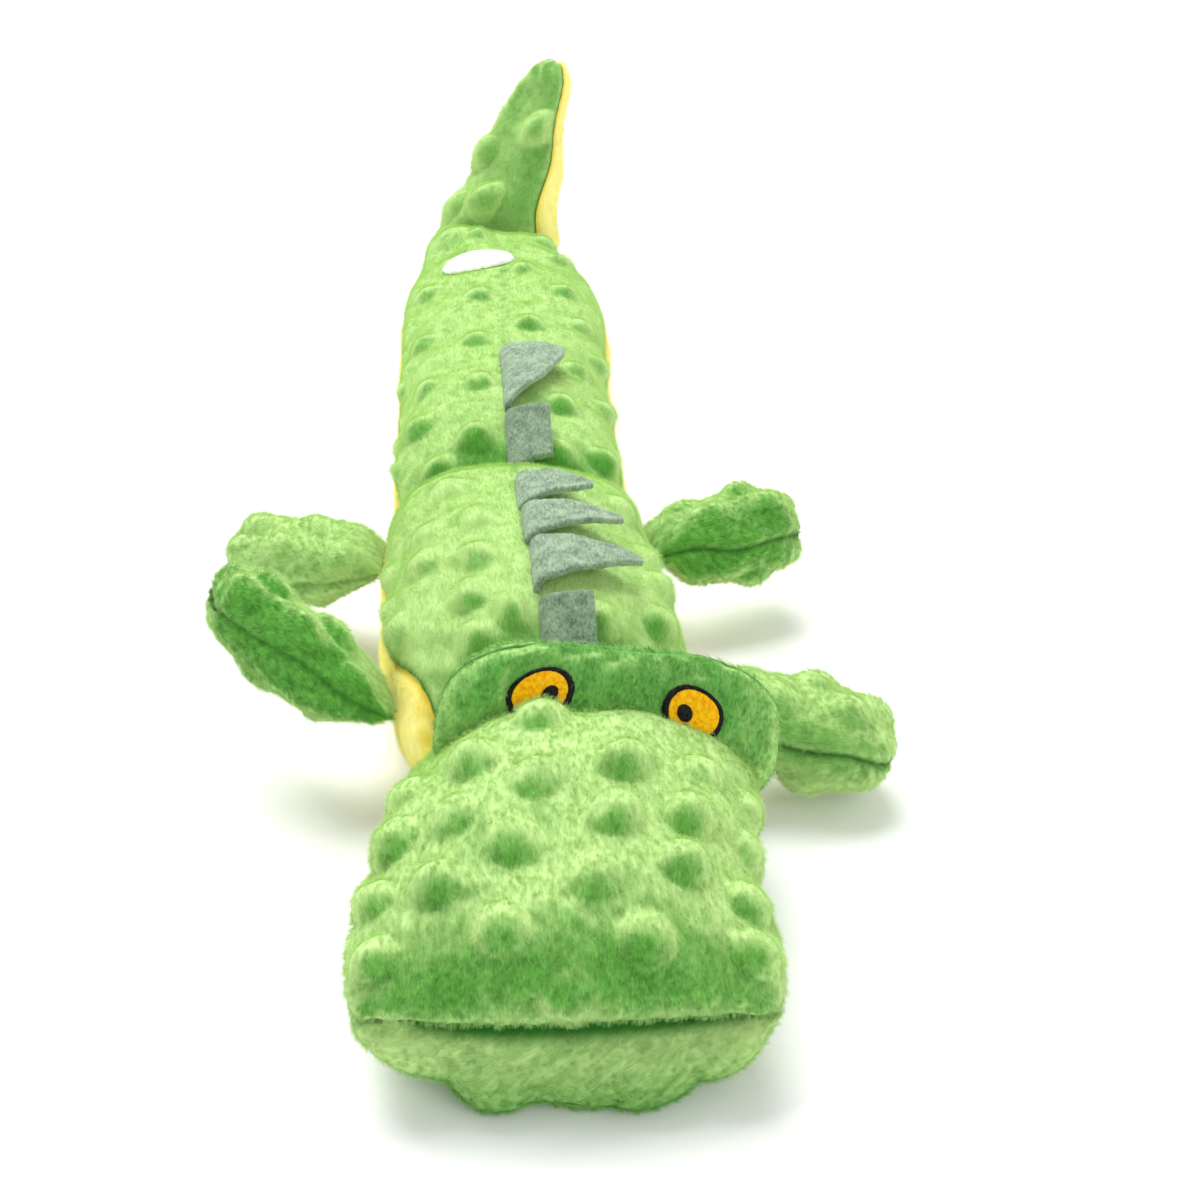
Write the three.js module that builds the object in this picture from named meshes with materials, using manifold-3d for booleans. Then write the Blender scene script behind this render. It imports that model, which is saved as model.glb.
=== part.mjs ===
import * as THREE from "three";
import { mergeVertices } from "three/addons/utils/BufferGeometryUtils.js";
import Module from "manifold-3d";

// A plush crocodile dog toy, lying on its belly with the nose towards -Y and the tail tip bent up.
// Millimetres, +Z up. Left and right are the crocodile's own: its left legs are on the +X side.
// Every stuffed section is a pillow: dotted or smooth plush panels, sewn flat at each end,
// round a filling. The flat ends meet at the neck, the hips, the tail fold and the leg seams,
// which is where the toy bends.

// Fabric, seams and dots
const skinThickness = 1.8;
const seamGap = 0.3;
const foldGap = 0.7;
const legGap = 1;
const lipHalf = 1.1;
const flatCut = 0.5;
const dotHeight = 2.4;
const feltThickness = 2;
const finGap = 0.6;
const threadThickness = 0.7;
const ribbonThickness = 0.6;

// Plush left smooth beside the floor, the label and the brow pad
const layFlatMargin = 3;
const labelMargin = 1.5;
const browMargin = 6;

// Head
const headLength = 97;
const headHalfWidth = 46;
const headRise = 31;
const headDrop = 22;

// Brow pad with the eyes, which stands across the back of the snout
const browHeight = 36;
const browHalfWidth = 42.5;
const browFront = 7.5;
const browBack = 7;
const browBaseHeight = 7;
const browLeanDegrees = 6;
const browRollDegrees = 8;
const browOffset = 9;
const browShareOfHead = 0.85;
const eyeHalfWidth = 7.6;
const eyeHalfHeight = 7.4;
const eyeSpacing = 38;
const eyeHeightShare = 0.72;
const eyeRimShare = 0.8;
const pupilHalfWidth = 2.6;
const pupilShift = 2.6;

// Torso
const torsoLength = 124;
const torsoHalfWidth = 40;
const torsoRise = 36.5;
const torsoDrop = 24;

// Tail
const tailLength = 253;
const tailHalfWidth = 37.5;
const tailRise = 28;
const tailDrop = 20;
const tailEndSink = 2.5;

// Tail tip
const tipLength = 81;
const tipHalfWidth = 24;
const tipRise = 9;
const tipDrop = 13;
const tipSway = 28;
const tipTwistDegrees = 34;
const tipTwistShare = 0.4;
const tipStandDegrees = 68;

// Sideways drift of the whole body from head to tail
const bodySway = 8;

// Legs
const frontLegLength = 54;
const rearLegLength = 48;
const legHalfWidth = 15.5;
const legRise = 11.5;
const legDrop = 11;

// Felt fins along the spine. The shares say how long a common fin is against the torso, and how
// high the front and back edges bulge.
const finShareOfTorso = 0.1645;
const finHeight = 28;
const finFrontShare = 0.5;
const finBackShare = 0.8;

// Label on the tail, turned a little past the spine
const labelHalfLength = 9;
const labelHalfWidth = 14;
const labelDegrees = 104;

// Squeaker: a blown bladder with a reed pressed into its neck
const bladderRadius = 19;
const bladderHeight = 21;
const bladderWall = 1.2;
const neckRadius = 5;
const reedFlangeRadius = 7.5;
const reedFlangeHeight = 1.5;
const reedBarrelLength = 6;
const reedBore = 1.5;

// Counts of cells and facets
const dotSpacingCount = 3;
const dotEdgeCount = 2;
const dotSlantCount = 9;
const patchSectorCount = 14;
const squeakerFacetCount = 16;
const wallStepCount = 6;
const finRootFacetCount = 8;

// Where fittings come, as shares of the section that carries them
const squeakerShare = 0.5;
const labelPlaceShare = 0.78;

// How square the sections are (2 is an ellipse), how far above the middle the side seams are, the
// widest turn to look for a seam gap in, and the share of a length over which a lip is lifted
const squareness = 2.3;
const sideSeamDegrees = 6;
const widestGapDegrees = 20;
const lipFadeShare = 0.16;

// Fins: place along the section, length and height as shares of the common ones, where the tip is
// and how wide it is as shares of the length, and the lean from upright
const torsoFins = [
  { place: 0.145, lengthShare: 1, heightShare: 0.48, tipShare: 0.5, widthShare: 0.86, leanDegrees: 70 },
  { place: 0.317, lengthShare: 1, heightShare: 1, tipShare: 0.36, widthShare: 0.1, leanDegrees: 83 },
  { place: 0.486, lengthShare: 1, heightShare: 0.94, tipShare: 0.4, widthShare: 0.1, leanDegrees: 82 },
  { place: 0.656, lengthShare: 1, heightShare: 0.74, tipShare: 0.4, widthShare: 0.1, leanDegrees: 82 },
];
const tailFins = [
  { place: 0.09, lengthShare: 1.2, heightShare: 0.48, tipShare: 0.5, widthShare: 0.86, leanDegrees: 72 },
  { place: 0.25, lengthShare: 2.4, heightShare: 0.74, tipShare: 0.8, widthShare: 0.06, leanDegrees: 80 },
];

// Legs: place along the torso, how far the paw is raised and how far the leg sweeps back
const legs = [
  { name: "front_left", side: 1, length: frontLegLength, place: 0.16, raiseDegrees: -16, sweepDegrees: -2 },
  { name: "front_right", side: -1, length: frontLegLength, place: 0.22, raiseDegrees: 20, sweepDegrees: 31 },
  { name: "rear_left", side: 1, length: rearLegLength, place: 0.86, raiseDegrees: 2, sweepDegrees: 10 },
  { name: "rear_right", side: -1, length: rearLegLength, place: 0.84, raiseDegrees: 0, sweepDegrees: 14 },
];

// Section shapes. Each row: place along the length, half width, rise, drop and drift, as shares
// of the section's own sizes and of the body's drift. Rise and drop start at the flat sewn lip.
const headShares = [
  [0.012, 0.84, 0, 0, -0.55],
  [0, 0.93, 0.14, 0.28, -0.55],
  [0.006, 0.975, 0.32, 0.6, -0.55],
  [0.035, 1, 0.5, 0.86, -0.55],
  [0.09, 1, 0.67, 0.97, -0.55],
  [0.2, 0.98, 0.83, 1, -0.55],
  [0.4, 0.95, 0.96, 1, -0.45],
  [0.62, 0.94, 1, 1, 0],
  [0.78, 0.93, 0.94, 0.98, 0.55],
  [0.91, 0.9, 0.6, 0.72, 0.45],
  [1, 0.84, 0, 0, 0],
];
const browShares = [
  [0, 0.96, 0, 0, 0],
  [0.15, 1, 0.7, 0.7, 0],
  [0.42, 1, 1, 1, 0],
  [0.68, 0.95, 0.92, 0.92, 0],
  [0.88, 0.78, 0.55, 0.55, 0],
  [1, 0.5, 0, 0, 0],
];
const torsoShares = [
  [0, 0.84, 0, 0, 0],
  [0.06, 0.92, 0.42, 0.5, -0.15],
  [0.15, 0.96, 0.76, 0.86, -0.35],
  [0.27, 1, 0.95, 1, -0.45],
  [0.42, 1, 1, 1, -0.6],
  [0.62, 0.98, 0.97, 1, -0.75],
  [0.8, 0.97, 0.93, 1, -0.8],
  [0.9, 0.95, 0.8, 0.9, -0.8],
  [0.955, 0.93, 0.5, 0.6, -0.8],
  [1, 0.88, 0, 0, -0.8],
];
const tailShares = [
  [0, 0.88, 0, 0, -0.8],
  [0.04, 0.93, 0.42, 0.5, -0.8],
  [0.1, 0.96, 0.84, 0.9, -0.8],
  [0.18, 0.97, 1, 1, -0.8],
  [0.38, 0.97, 0.94, 1, -0.7],
  [0.58, 1.01, 0.88, 1, -0.45],
  [0.7, 1.01, 0.82, 1, -0.35],
  [0.85, 0.84, 0.7, 0.94, -0.45],
  [0.94, 0.7, 0.52, 0.72, -0.6],
  [1, 0.6, 0, 0, -0.75],
];
const tipShares = [
  [0, 1, 0, 0, 0],
  [0.08, 1, 0.6, 0.6, 0.02],
  [0.22, 0.95, 1, 1, 0.1],
  [0.45, 0.76, 0.92, 0.92, 0.34],
  [0.7, 0.54, 0.72, 0.72, 0.66],
  [0.9, 0.34, 0.46, 0.46, 0.92],
  [0.98, 0.2, 0.2, 0.2, 1],
  [1, 0.1, 0, 0, 1],
];
const legShares = [
  [0, 0.7, 0, 0, 0],
  [0.12, 0.78, 0.5, 0.5, 0.02],
  [0.3, 0.86, 0.82, 0.82, 0.14],
  [0.52, 0.97, 0.98, 0.98, 0.4],
  [0.72, 1, 1, 1, 0.7],
  [0.88, 0.88, 0.8, 0.8, 0.92],
  [0.97, 0.62, 0.42, 0.42, 1],
  [1, 0.4, 0, 0, 1],
];

// Colours and finishes seen in the photograph
const finishes = {
  dottedPlush: { color: 0x7cc653, roughness: 0.95 },
  browPlush: { color: 0x4f9e40, roughness: 0.95 },
  bellyPlush: { color: 0xf7e35c, roughness: 0.95 },
  felt: { color: 0x6c7f70, roughness: 1 },
  irisThread: { color: 0xffb000, roughness: 0.6 },
  blackThread: { color: 0x1d1d1f, roughness: 0.6 },
  ribbon: { color: 0xf4f4f2, roughness: 0.7 },
  filling: { color: 0xf3f1ea, roughness: 1 },
  squeakerPlastic: { color: 0xe9eae6, roughness: 0.45 },
};

const radians = THREE.MathUtils.degToRad;
const wasm = await Module();
wasm.setup();

// Meshes and solids

// A closed geometry from points and triangles, with doubled points merged, collapsed triangles
// dropped and the faces pointing out.
function closedGeometry(points, triangles) {
  const flat = triangles.flat().flatMap((corner) => points[corner].toArray());
  const loose = new THREE.BufferGeometry();
  loose.setAttribute("position", new THREE.Float32BufferAttribute(flat, 3));
  const merged = mergeVertices(loose);
  const at = (corner) => new THREE.Vector3().fromBufferAttribute(merged.attributes.position, corner);
  const kept = [];
  let volume = 0;
  for (let i = 0; i < merged.index.count; i += 3) {
    const [a, b, c] = [0, 1, 2].map((step) => merged.index.array[i + step]);
    if (a === b || b === c || c === a) continue;
    kept.push([a, b, c]);
    volume += at(a).dot(at(b).cross(at(c)));
  }
  merged.setIndex((volume < 0 ? kept.map((corners) => corners.toReversed()) : kept).flat());
  merged.computeVertexNormals();
  return merged;
}

function solidOf(geometry) {
  const bare = geometry.clone();
  bare.deleteAttribute("normal");
  bare.deleteAttribute("uv");
  const merged = mergeVertices(bare);
  return new wasm.Manifold(
    new wasm.Mesh({
      numProp: 3,
      vertProperties: merged.attributes.position.array,
      triVerts: new Uint32Array(merged.index.array),
    }),
  );
}

function largestBody(solid) {
  return solid.decompose().reduce((a, b) => (b.volume() > a.volume() ? b : a));
}

function geometryOf(solid) {
  const mesh = solid.getMesh();
  const geometry = new THREE.BufferGeometry();
  geometry.setAttribute("position", new THREE.BufferAttribute(mesh.vertProperties, mesh.numProp));
  geometry.setIndex(new THREE.BufferAttribute(mesh.triVerts, 1));
  geometry.computeVertexNormals();
  return geometry;
}

function addPiece(group, name, geometry, finish) {
  const piece = new THREE.Mesh(geometry, new THREE.MeshStandardMaterial({ metalness: 0, ...finish }));
  piece.name = name;
  group.add(piece);
  return piece;
}

// Triangles across the cells of a grid whose point (i, j) has the number first + i * (columns + 1) + j.
function gridTriangles(first, rows, columns) {
  const triangles = [];
  for (let i = 0; i < rows; i += 1) {
    for (let j = 0; j < columns; j += 1) {
      const a = first + i * (columns + 1) + j;
      const b = a + columns + 1;
      triangles.push([a, b, b + 1], [a, b + 1, a + 1]);
    }
  }
  return triangles;
}

// Triangles between a fine edge and a coarse one that has a point for every step of the fine points.
function edgeTriangles(fine, coarse, step) {
  const triangles = [];
  for (let c = 0; c + 1 < coarse.length; c += 1) {
    const middle = c * step + Math.floor(step / 2);
    for (let i = c * step; i < (c + 1) * step; i += 1) {
      triangles.push([fine[i], fine[i + 1], i < middle ? coarse[c] : coarse[c + 1]]);
    }
    triangles.push([fine[middle], coarse[c + 1], coarse[c]]);
  }
  return triangles;
}

// Stuffed sections

// A pillow along +Y from its first sewn lip, with rise towards +Z. A place on it is a share u of
// the profile's length and an angle round the section, from +X over the top.
class Pillow {
  constructor(sizes) {
    Object.assign(this, { drift: 0, twist: 0, frontLift: 0, rearLift: 0, stands: false }, sizes);
    const above = ([along, half, rise]) =>
      new THREE.Vector3(along * this.length, half * this.halfWidth, this.fromLip(rise, this.rise));
    const below = ([, , , drop, drift]) =>
      new THREE.Vector3(this.fromLip(drop, this.drop), drift * this.drift, 0);
    this.upper = new THREE.CatmullRomCurve3(this.shares.map(above));
    this.lower = new THREE.CatmullRomCurve3(this.shares.map(below));
    this.firstLip = this.shares[0][0] * this.length;
  }

  fromLip(share, size) {
    return lipHalf + share * (size - lipHalf);
  }

  section(u) {
    const t = this.upper.getUtoTmapping(THREE.MathUtils.clamp(u, 0, 1));
    const { x: along, y: halfWidth, z: rise } = this.upper.getPoint(t);
    const { x: drop, y: sideways } = this.lower.getPoint(t);
    const place = along / this.length;
    const lift =
      this.frontLift * (1 - THREE.MathUtils.smoothstep(place, 0, lipFadeShare)) +
      this.rearLift * THREE.MathUtils.smoothstep(place, 1 - lipFadeShare, 1);
    return { along, halfWidth, rise, drop, sideways, lift };
  }

  // A point of the skin, or of a surface that lies inset mm inside it. At the lips such surfaces
  // run out to the edge, and close up to half a seam gap from the middle plane.
  point(u, angle, inset = 0) {
    const cut = this.section(u);
    const atLip = u <= 0 || u >= 1;
    const reach = (size) => Math.max(size - inset, seamGap / 2);
    const curve = (value) => Math.sign(value) * Math.abs(value) ** (2 / squareness);
    const across = reach(cut.halfWidth) * curve(Math.cos(angle));
    const height = reach(Math.sin(angle) > 0 ? cut.rise : cut.drop) * curve(Math.sin(angle));
    const turn = this.twist * THREE.MathUtils.smoothstep(u, 0, tipTwistShare);
    const turned = new THREE.Vector2(across, height).rotateAround(new THREE.Vector2(), turn);
    const margin = atLip || inset < 0 ? 0 : this.firstLip + inset;
    const along = THREE.MathUtils.clamp(cut.along, margin, this.length - margin);
    return new THREE.Vector3(turned.x + cut.sideways, along, turned.y + cut.lift);
  }

  // Directions along the section, round it and out of it.
  tangents(u, angle) {
    const step = 1e-3;
    const alongs = this.point(Math.min(u + step, 1), angle).sub(this.point(Math.max(u - step, 0), angle));
    const rounds = this.point(u, angle + step).sub(this.point(u, angle - step));
    const outwards = alongs.clone().cross(rounds).normalize();
    return { alongs: alongs.divideScalar(2 * step), rounds: rounds.divideScalar(2 * step), outwards };
  }

  raised(u, angle, height) {
    return this.point(u, angle).addScaledVector(this.tangents(u, angle).outwards, height);
  }

  // The share u at which the section reaches a share of its length.
  shareAt(place) {
    let low = 0;
    let high = 1;
    const halvings = 30;
    for (let i = 0; i < halvings; i += 1) {
      const middle = (low + high) / 2;
      if (this.section(middle).along < place * this.length) low = middle;
      else high = middle;
    }
    return (low + high) / 2;
  }

  // The angle on the upper side at a distance across from the middle.
  angleAcross(u, across) {
    const share = across / this.section(u).halfWidth;
    return Math.acos(Math.sign(share) * Math.abs(share) ** (squareness / 2));
  }

  // The height of the flat underside that a lying section rests on.
  get floor() {
    return flatCut - this.drop;
  }
}

// The two or three panels that make up a skin. Each has its angles, its cells round the section
// for one cell of the lining, and whether it is of dotted plush.
const dottedCells = { alongCells: 3, roundCells: 3, dotted: true };
const smoothCells = { alongCells: 2, roundCells: 2, dotted: false };
const layCells = { alongCells: 2, roundCells: 3, dotted: false };

// One sewn panel of a pillow's skin. The lining has coarser cells than the outside. Dots of pile
// stand on every third cell in slanting rows, except where bare says that the panel has none.
function panelGeometry(pillow, panel, bare = () => false) {
  const { liningRows } = pillow;
  const { alongCells, roundCells, liningRound, dotted } = panel;
  const rows = liningRows * alongCells;
  const columns = liningRound * roundCells;
  const hasDot = (i, j, u, angle) =>
    dotted &&
    i >= dotEdgeCount &&
    i <= rows - dotEdgeCount &&
    j >= dotEdgeCount &&
    j <= columns - dotEdgeCount &&
    i % dotSpacingCount === 0 &&
    (j + Math.round(i / dotSlantCount)) % dotSpacingCount === 0 &&
    !bare(pillow.point(u, angle));
  const points = [];
  for (let i = 0; i <= rows; i += 1) {
    const u = i / rows;
    const angleAt = panelAngles(pillow, panel, u);
    for (let j = 0; j <= columns; j += 1) {
      const angle = angleAt(j / columns);
      const point = pillow.raised(u, angle, hasDot(i, j, u, angle) ? dotHeight : 0);
      if (pillow.stands) point.z = Math.max(point.z, pillow.floor);
      points.push(point);
    }
  }
  const inside = points.length;
  for (let i = 0; i <= liningRows; i += 1) {
    const u = i / liningRows;
    const angleAt = panelAngles(pillow, panel, u);
    for (let j = 0; j <= liningRound; j += 1) {
      points.push(pillow.point(u, angleAt(j / liningRound), skinThickness));
    }
  }
  const outerAt = (i, j) => i * (columns + 1) + j;
  const innerAt = (i, j) => inside + i * (liningRound + 1) + j;
  const line = (count, numberOf) => Array.from({ length: count + 1 }, (_, i) => numberOf(i));
  const endRim = (i, k) =>
    edgeTriangles(line(columns, (j) => outerAt(i, j)), line(liningRound, (j) => innerAt(k, j)), roundCells);
  const sideRim = (j, k) =>
    edgeTriangles(line(rows, (i) => outerAt(i, j)), line(liningRows, (i) => innerAt(i, k)), alongCells);
  const flip = (triangles) => triangles.map((corners) => corners.toReversed());
  return closedGeometry(points, [
    ...gridTriangles(0, rows, columns),
    ...flip(gridTriangles(inside, liningRows, liningRound)),
    ...endRim(0, 0),
    ...flip(endRim(rows, liningRows)),
    ...flip(sideRim(0, 0)),
    ...sideRim(columns, liningRound),
  ]);
}

// The angle at a share of a panel's width in the row at u, with half a seam gap left at each side.
function panelAngles(pillow, { from, to }, u) {
  const start = from + gapTurn(pillow, u, from, 1);
  const end = to - gapTurn(pillow, u, to, -1);
  return (share) => THREE.MathUtils.lerp(start, end, share);
}

// How far to turn round the section from a seam to be half a seam gap away from it.
function gapTurn(pillow, u, seam, direction) {
  const origin = pillow.point(u, seam);
  let low = 0;
  let high = radians(widestGapDegrees);
  const halvings = 16;
  for (let i = 0; i < halvings; i += 1) {
    const turn = (low + high) / 2;
    if (pillow.point(u, seam + direction * turn).distanceTo(origin) < seamGap / 2) low = turn;
    else high = turn;
  }
  return high;
}

// A closed loft inside a pillow's panels, or outside them where the inset is below zero. It has a
// number of rows and columns for each lining cell, and leaves out some rows at each lip.
function loftGeometry(pillow, panels, inset, { cells, lipRows }) {
  const rows = pillow.liningRows * cells;
  const rings = [];
  for (let i = lipRows; i <= rows - lipRows; i += 1) {
    const u = i / rows;
    const angles = panels.flatMap((panel) => {
      const angleAt = panelAngles(pillow, panel, u);
      const columns = panel.liningRound * cells;
      return Array.from({ length: columns + 1 }, (_, j) => angleAt(j / columns));
    });
    rings.push(angles.map((angle) => pillow.point(u, angle, inset)));
  }
  const points = rings.flatMap((ring) => [...ring, ring[0]]);
  const middleOf = (ring) =>
    ring.reduce((sum, point) => sum.add(point), new THREE.Vector3()).divideScalar(ring.length);
  const front = points.push(middleOf(rings[0])) - 1;
  const rear = points.push(middleOf(rings.at(-1))) - 1;
  const columns = rings[0].length;
  const triangles = gridTriangles(0, rings.length - 1, columns);
  const last = (rings.length - 1) * (columns + 1);
  for (let j = 0; j < columns; j += 1) {
    triangles.push([front, j, j + 1], [rear, last + j + 1, last + j]);
  }
  return closedGeometry(points, triangles);
}

function fillingGeometry(pillow, panels) {
  return loftGeometry(pillow, panels, skinThickness + seamGap, { cells: 1, lipRows: 1 });
}

// A thin patch that follows a pillow's skin: an oval, or a ring when innerShare is above zero.
function patchGeometry(pillow, sizes) {
  const { u, angle, halfAlong, halfRound, height, thickness, innerShare = 0 } = sizes;
  const { alongs, rounds } = pillow.tangents(u, angle);
  const place = (sector, share, raise) => {
    const turn = (sector / patchSectorCount) * 2 * Math.PI;
    const stepAlong = (Math.cos(turn) * halfAlong * share) / alongs.length();
    const stepRound = (Math.sin(turn) * halfRound * share) / rounds.length();
    return pillow.raised(u + stepAlong, angle + stepRound, raise);
  };
  const points = [];
  for (let sector = 0; sector <= patchSectorCount; sector += 1) {
    const across = [innerShare, (1 + innerShare) / 2, 1];
    const outline = [
      ...across.map((share) => place(sector, share, height)),
      ...across.toReversed().map((share) => place(sector, share, height + thickness)),
    ];
    points.push(...outline, outline[0]);
  }
  const cornerCount = 6;
  return closedGeometry(points, gridTriangles(0, patchSectorCount, cornerCount));
}

// Squeaker

const reedTop = bladderHeight + reedFlangeHeight + seamGap;

function bladderGeometry() {
  const middle = bladderHeight / 2;
  const wallCurve = (inset, top) => {
    const quarter = Math.PI / 2;
    const curve = new THREE.EllipseCurve(
      0,
      middle,
      bladderRadius - inset,
      middle - inset,
      -quarter,
      quarter,
    );
    const kept = curve.getPoints(2 * wallStepCount).filter(({ x, y }) => y < middle || x > neckRadius);
    kept[0].x = 0;
    return [...kept, new THREE.Vector2(neckRadius, top)];
  };
  const outside = wallCurve(0, bladderHeight);
  const inside = wallCurve(bladderWall, bladderHeight - bladderWall);
  return closedLathe([...outside, ...inside.reverse()]);
}

function reedGeometry() {
  const barrelRadius = neckRadius - seamGap;
  const flangeBase = bladderHeight + seamGap;
  const barrelEnd = flangeBase - reedBarrelLength;
  return closedLathe([
    new THREE.Vector2(reedBore, barrelEnd),
    new THREE.Vector2(barrelRadius, barrelEnd),
    new THREE.Vector2(barrelRadius, flangeBase),
    new THREE.Vector2(reedFlangeRadius, flangeBase),
    new THREE.Vector2(reedFlangeRadius, reedTop),
    new THREE.Vector2(reedBore, reedTop),
    new THREE.Vector2(reedBore, barrelEnd),
  ]);
}

// The room that the filling leaves for a squeaker.
function pocketGeometry() {
  const radius = bladderRadius + seamGap;
  const flange = reedFlangeRadius + seamGap;
  const shoulder = bladderHeight + seamGap;
  const top = reedTop + seamGap;
  return closedLathe([
    new THREE.Vector2(0, -seamGap),
    new THREE.Vector2(radius, -seamGap),
    new THREE.Vector2(radius, shoulder),
    new THREE.Vector2(flange, shoulder),
    new THREE.Vector2(flange, top),
    new THREE.Vector2(0, top),
  ]);
}

// A solid of revolution that stands on its base, with its axis along +Z.
function closedLathe(profile) {
  const turned = new THREE.LatheGeometry(profile, squeakerFacetCount).rotateX(Math.PI / 2).toNonIndexed();
  const corners = turned.attributes.position;
  const points = Array.from({ length: corners.count }, (_, i) =>
    new THREE.Vector3().fromBufferAttribute(corners, i),
  );
  const triangles = Array.from({ length: corners.count / 3 }, (_, i) => [3 * i, 3 * i + 1, 3 * i + 2]);
  return closedGeometry(points, triangles);
}

// The part of a section that the floor flattens has no dots.
function layFlat(pillow) {
  return (point) => point.z < pillow.floor + layFlatMargin;
}

// Puts a squeaker in the middle of a section, between an upper and a lower half of its filling.
function addFillingWithSqueaker(group, name, pillow, panels) {
  const u = pillow.shareAt(squeakerShare);
  const { along, rise, drop, sideways } = pillow.section(u);
  const seat = new THREE.Vector3(sideways, along, (rise - drop) / 2 - reedTop / 2);
  const split = seat.z + bladderHeight / 2;
  const whole = solidOf(fillingGeometry(pillow, panels));
  const pocket = solidOf(pocketGeometry().translate(...seat));
  const slab = new THREE.BoxGeometry(4 * pillow.halfWidth, 3 * pillow.length, seamGap);
  const halves = whole.subtract(pocket).subtract(solidOf(slab.translate(sideways, along, split)));
  const [lower, upper] = halves
    .decompose()
    .toSorted((a, b) => b.volume() - a.volume())
    .slice(0, 2)
    .toSorted((a, b) => a.boundingBox().min[2] - b.boundingBox().min[2]);
  addPiece(group, `${name}_lower_filling`, geometryOf(lower), finishes.filling);
  addPiece(group, `${name}_upper_filling`, geometryOf(upper), finishes.filling);
  const bladder = addPiece(group, `${name}_squeaker_bladder`, bladderGeometry(), finishes.squeakerPlastic);
  const reed = addPiece(group, `${name}_squeaker_reed`, reedGeometry(), finishes.squeakerPlastic);
  bladder.position.copy(seat);
  reed.position.copy(seat);
}

// Sections of the toy

const headPlane = headDrop - flatCut;
const torsoPlane = torsoDrop - flatCut;
const tailPlane = tailDrop - flatCut;

const head = new Pillow({
  length: headLength,
  halfWidth: headHalfWidth,
  rise: headRise,
  drop: headDrop,
  drift: bodySway,
  rearLift: torsoPlane - headPlane,
  stands: true,
  shares: headShares,
  liningRows: 7,
});
const brow = new Pillow({
  length: browHeight,
  halfWidth: browHalfWidth,
  rise: browFront,
  drop: browBack,
  shares: browShares,
  liningRows: 4,
});
const torso = new Pillow({
  length: torsoLength,
  halfWidth: torsoHalfWidth,
  rise: torsoRise,
  drop: torsoDrop,
  drift: bodySway,
  stands: true,
  shares: torsoShares,
  liningRows: 8,
});
const tail = new Pillow({
  length: tailLength,
  halfWidth: tailHalfWidth,
  rise: tailRise,
  drop: tailDrop,
  drift: bodySway,
  frontLift: torsoPlane - tailPlane,
  rearLift: -tailEndSink,
  stands: true,
  shares: tailShares,
  liningRows: 14,
});
const tip = new Pillow({
  length: tipLength,
  halfWidth: tipHalfWidth,
  rise: tipRise,
  drop: tipDrop,
  drift: tipSway,
  twist: radians(tipTwistDegrees),
  shares: tipShares,
  liningRows: 5,
});

// Panels round a section: two halves, or a belly and two back halves that meet at the spine.
const quarterTurn = Math.PI / 2;
const halfTurn = Math.PI;
const sideSeam = radians(sideSeamDegrees);
const overTop = { from: 0, to: halfTurn };
const underneath = { from: halfTurn, to: 2 * halfTurn };
const backPanels = {
  left: { from: sideSeam, to: quarterTurn, liningRound: 3, ...dottedCells },
  right: { from: quarterTurn, to: halfTurn - sideSeam, liningRound: 3, ...dottedCells },
};
const bellyPanel = { from: halfTurn - sideSeam, to: 2 * halfTurn + sideSeam, liningRound: 3, ...layCells };

// Each eye is embroidered: a fill of bright thread, a pupil on it and a raised outline round it.
function addEye(group, side, direction, onSnout) {
  const u = brow.shareAt(eyeHeightShare);
  const angle = brow.angleAcross(u, (direction * eyeSpacing) / 2);
  const roundLength = brow.tangents(u, angle).rounds.length();
  const base = {
    u,
    angle,
    halfAlong: eyeHalfHeight,
    halfRound: eyeHalfWidth,
    height: seamGap,
    thickness: threadThickness,
  };
  const addPatch = (part, sizes, finish) =>
    addPiece(group, `${side}_eye_${part}`, onSnout(patchGeometry(brow, { ...base, ...sizes })), finish);
  const outline = { innerShare: eyeRimShare, thickness: 2 * threadThickness };
  addPatch("outline", outline, finishes.blackThread);
  const iris = {
    halfAlong: eyeHalfHeight * eyeRimShare - seamGap,
    halfRound: eyeHalfWidth * eyeRimShare - seamGap,
  };
  addPatch("iris", iris, finishes.irisThread);
  const pupil = {
    angle: angle + (direction * pupilShift) / roundLength,
    halfAlong: pupilHalfWidth,
    halfRound: pupilHalfWidth,
    height: 2 * seamGap + threadThickness,
  };
  addPatch("pupil", pupil, finishes.blackThread);
}

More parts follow.
